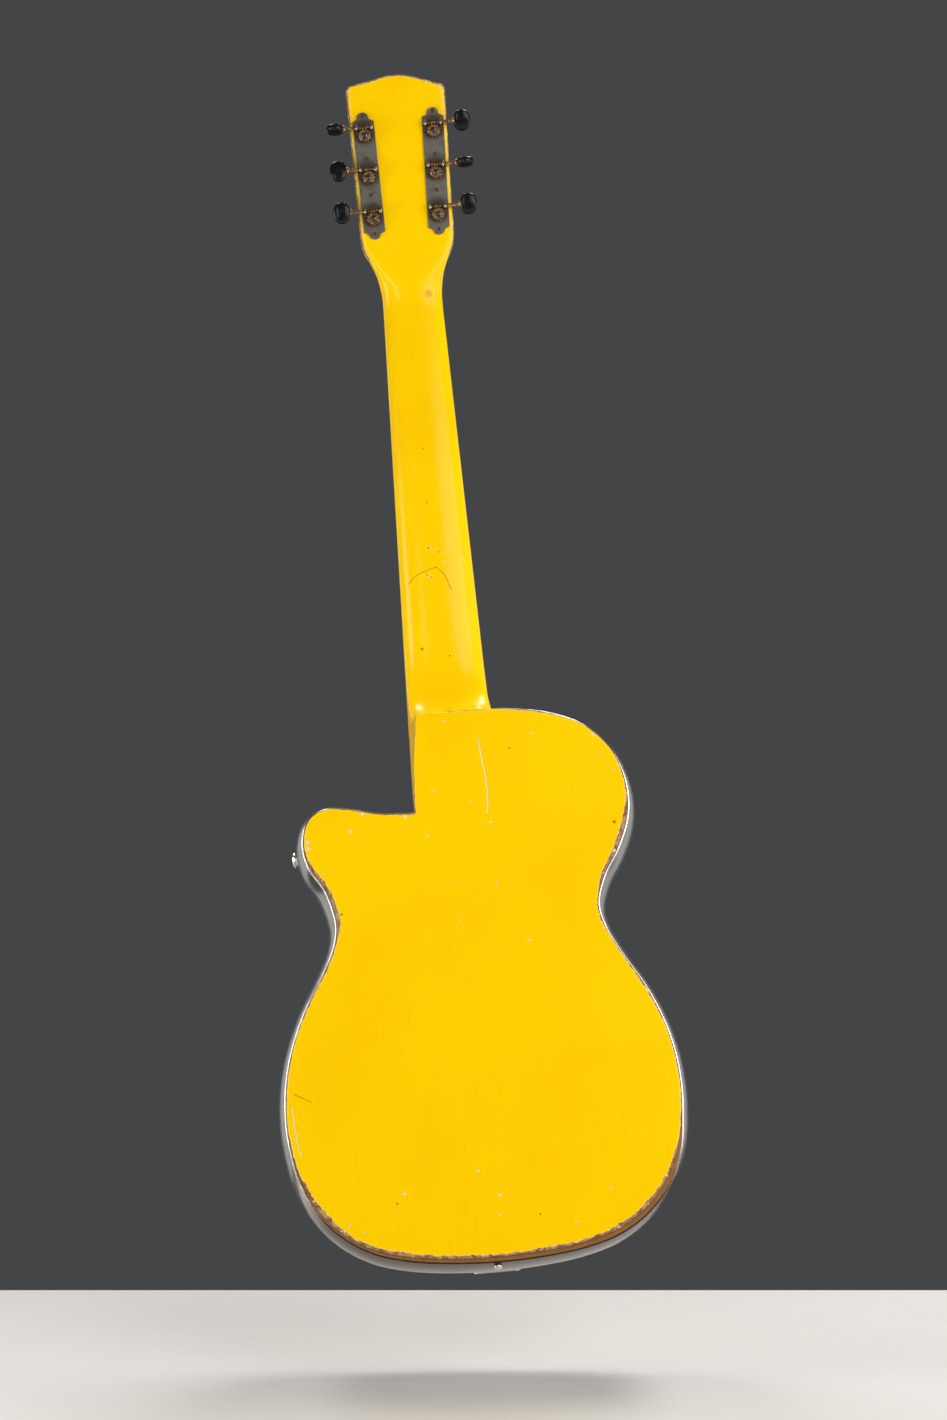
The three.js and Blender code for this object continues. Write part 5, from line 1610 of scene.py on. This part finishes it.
def overlay():
    """The lacquered sheet on the headstock's face, with an edge broken all round."""
    side = [(x - 0.4, h) for x, h in (tuple(p) for p in SIDE_LINE) if h > OVERLAY_FROM]
    side = [(head_half_width(OVERLAY_FROM) - 0.4, OVERLAY_FROM)] + side
    crest = [(x * 0.99, h - 0.4) for x, h in (tuple(p) for p in CREST_LINE)]
    outline = [Vector(p) for p in [(-x, h) for x, h in side] + crest[1:-1] + side[::-1]]
    low, high = HEAD_THICK + 0.02, HEAD_THICK + GAP + OVERLAY_THICK
    rings = []
    for inner, t in ((0, low), (0, high - 0.5), (0.15, high - 0.15), (0.5, high)):
        rings.append([(p.x, t, p.y) for p in inset(outline, inner)])
    piece = new_piece("head_face", placed(skin(rings), HEAD), LACQUER,
                      replaces=["head_overlay"])
    holes = []
    for sign in (-1, 1):
        for x, h in POSTS.values():
            bore = lathe([(0, 10), (4.75, 10), (4.75, 30), (0, 30)], 32)
            holes.append(placed(bore, on_head(sign * x, 0, h, TO_FRONT)))
    carved(piece, holes)


def string(index):
    """A string from its ball behind the tailpiece's lip to the side of its post."""
    radius, side, row = STRINGS[index]
    sign = SIGN[side]
    x, h = POSTS[row]
    spread = index - MIDDLE_STRING
    tail_x = spread * TAIL_SPACING
    nut_x = spread * NUT_SPACING
    end = HEAD @ Vector((sign * (x - POST_RADIUS + 0.5 - radius), STRING_T, h))
    path = [Vector((tail_x, TAIL_STRING_Y, TAIL_LIP_Z - 2.4)),
            Vector((tail_x, TAIL_STRING_Y, TAIL_LIP_Z + 3)),
            Vector((spread * SADDLE_SPACING, SADDLE_STRING_Y + radius - 0.1, SADDLE_Z)),
            Vector((nut_x, NUT_STRING_Y, NUT_Z)), Vector((nut_x, NUT_STRING_Y - 0.4, NUT_Z + 4)), end]
    line = []
    for a, b in zip(path, path[1:]):
        steps = max(int((b - a).length / 22), 1)
        line += [a.lerp(b, k / steps) for k in range(steps)]
    line.append(end)
    ball = lathe([(0, -2.2), (1.1, -2.2), (1.75, -1.7), (1.45, -0.4), (1.45, 0.2), (1.75, 1.4), (1.1, 1.9),
                  (0, 1.9)], 20)
    across = at(tail_x, TAIL_STRING_Y, TAIL_LIP_Z - 3.9, TO_BASS)
    parts = [tube(line, radius, 10), placed(ball, across)]
    wrap = radius + 0.12
    for turn in range(5):
        twist = []
        for k in range(13):
            angle = 2 * math.pi * k / 12
            twist.append((tail_x + wrap * math.cos(angle), TAIL_STRING_Y + wrap * math.sin(angle),
                          TAIL_LIP_Z - 1.9 + 0.32 * (turn + k / 12)))
        parts.append(tube(twist, 0.14, 6))
    new_piece(f"wire_{index + 1}", merged(parts), STRING_FINISH[index],
              replaces=[f"string_{index + 1}"], sharp=60)


# ------------------------------------------------------------------ stage
FLOOR_DROP = 0.07  # the guitar hangs this far above the floor, as on a stand


def add_floor():
    """A pale floor under the guitar, level for the upright camera."""
    low = floor_height() - FLOOR_DROP
    corners = [(-1.5, -1.1), (1.5, -1.1), (1.5, 0.35), (-1.5, 0.35)]
    along, up = TO_ROW @ Vector((0, 1, 0)), TO_ROW @ Vector((0, 0, 1))
    across = TO_ROW @ Vector((1, 0, 0))
    mesh = bpy.data.meshes.new("floor")
    mesh.from_pydata([across * x + along * y + up * low for x, y in corners], [], [(0, 1, 2, 3)])
    mesh.materials.append(pale_floor())
    linked("floor", mesh)


def add_softbox(name, place, size, power, tint=(1, 1, 1), target=(0, 0, 0.45)):
    """A soft lamp, given from the camera in metres, that faces a point of the guitar."""
    data = bpy.data.lights.new(name, "AREA")
    data.shape = "RECTANGLE"
    data.size, data.size_y = size
    data.energy = power
    data.color = tint
    lamp = linked(name, data)
    lamp.location = from_camera(*place)
    lamp.rotation_euler = (Vector(target) - lamp.location).to_track_quat("-Z", "Y").to_euler()


def add_lights():
    add_softbox("front", (0.95, 1.3, 0.6), (1.3, 1.2), 20)
    add_softbox("neck strip", (-0.75, 0.8, 0.35), (0.1, 1.2), 6)
    add_softbox("left strip", (-1.3, 2.05, 0.1), (0.45, 1.0), 11)
    add_softbox("right strip", (1.3, 2.3, 0.1), (0.45, 1.0), 6)
    add_softbox("left panel", (-1.8, 4.6, -0.12), (1.4, 2.0), 3.5)
    add_softbox("right panel", (1.8, 4.6, -0.12), (1.4, 2.0), 3.5)
    add_softbox("strings key", (0.9, 3.9, 2.9), (1.4, 1.0), 75)
    add_softbox("strings fill", (-1.0, 3.9, 2.7), (1.0, 0.8), 32)
    world = bpy.data.worlds.new("studio")
    world.use_nodes = True
    world.node_tree.nodes["Background"].inputs["Color"].default_value = (0.72, 0.74, 0.77, 1)
    world.node_tree.nodes["Background"].inputs["Strength"].default_value = 0.08
    bpy.context.scene.world = world
    bpy.context.scene.view_settings.view_transform = "Standard"


back_plate()
top_plate()
rim()
neck_block()
neck()
end_pin()
strap_stud()
coverplate()
palm_rest()
tailpiece()
resonator()
fingerboard()
nut()
overlay()
for string_index in range(len(STRINGS)):
    string(string_index)
for side_name in ("treble", "bass"):
    screen(side_name)
    tuner_plate(side_name)
    for row_name in ROWS:
        tuner(side_name, row_name)

CAD_FINISH = {"tail_block": WOOD, "neck_stick": WOOD}  # the CAD nodes that show as they are


def finish_cad_nodes():
    for name, material in CAD_FINISH.items():
        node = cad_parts[name]
        node.data.materials.clear()
        node.data.materials.append(material)


finish_cad_nodes()
add_floor()
add_lights()
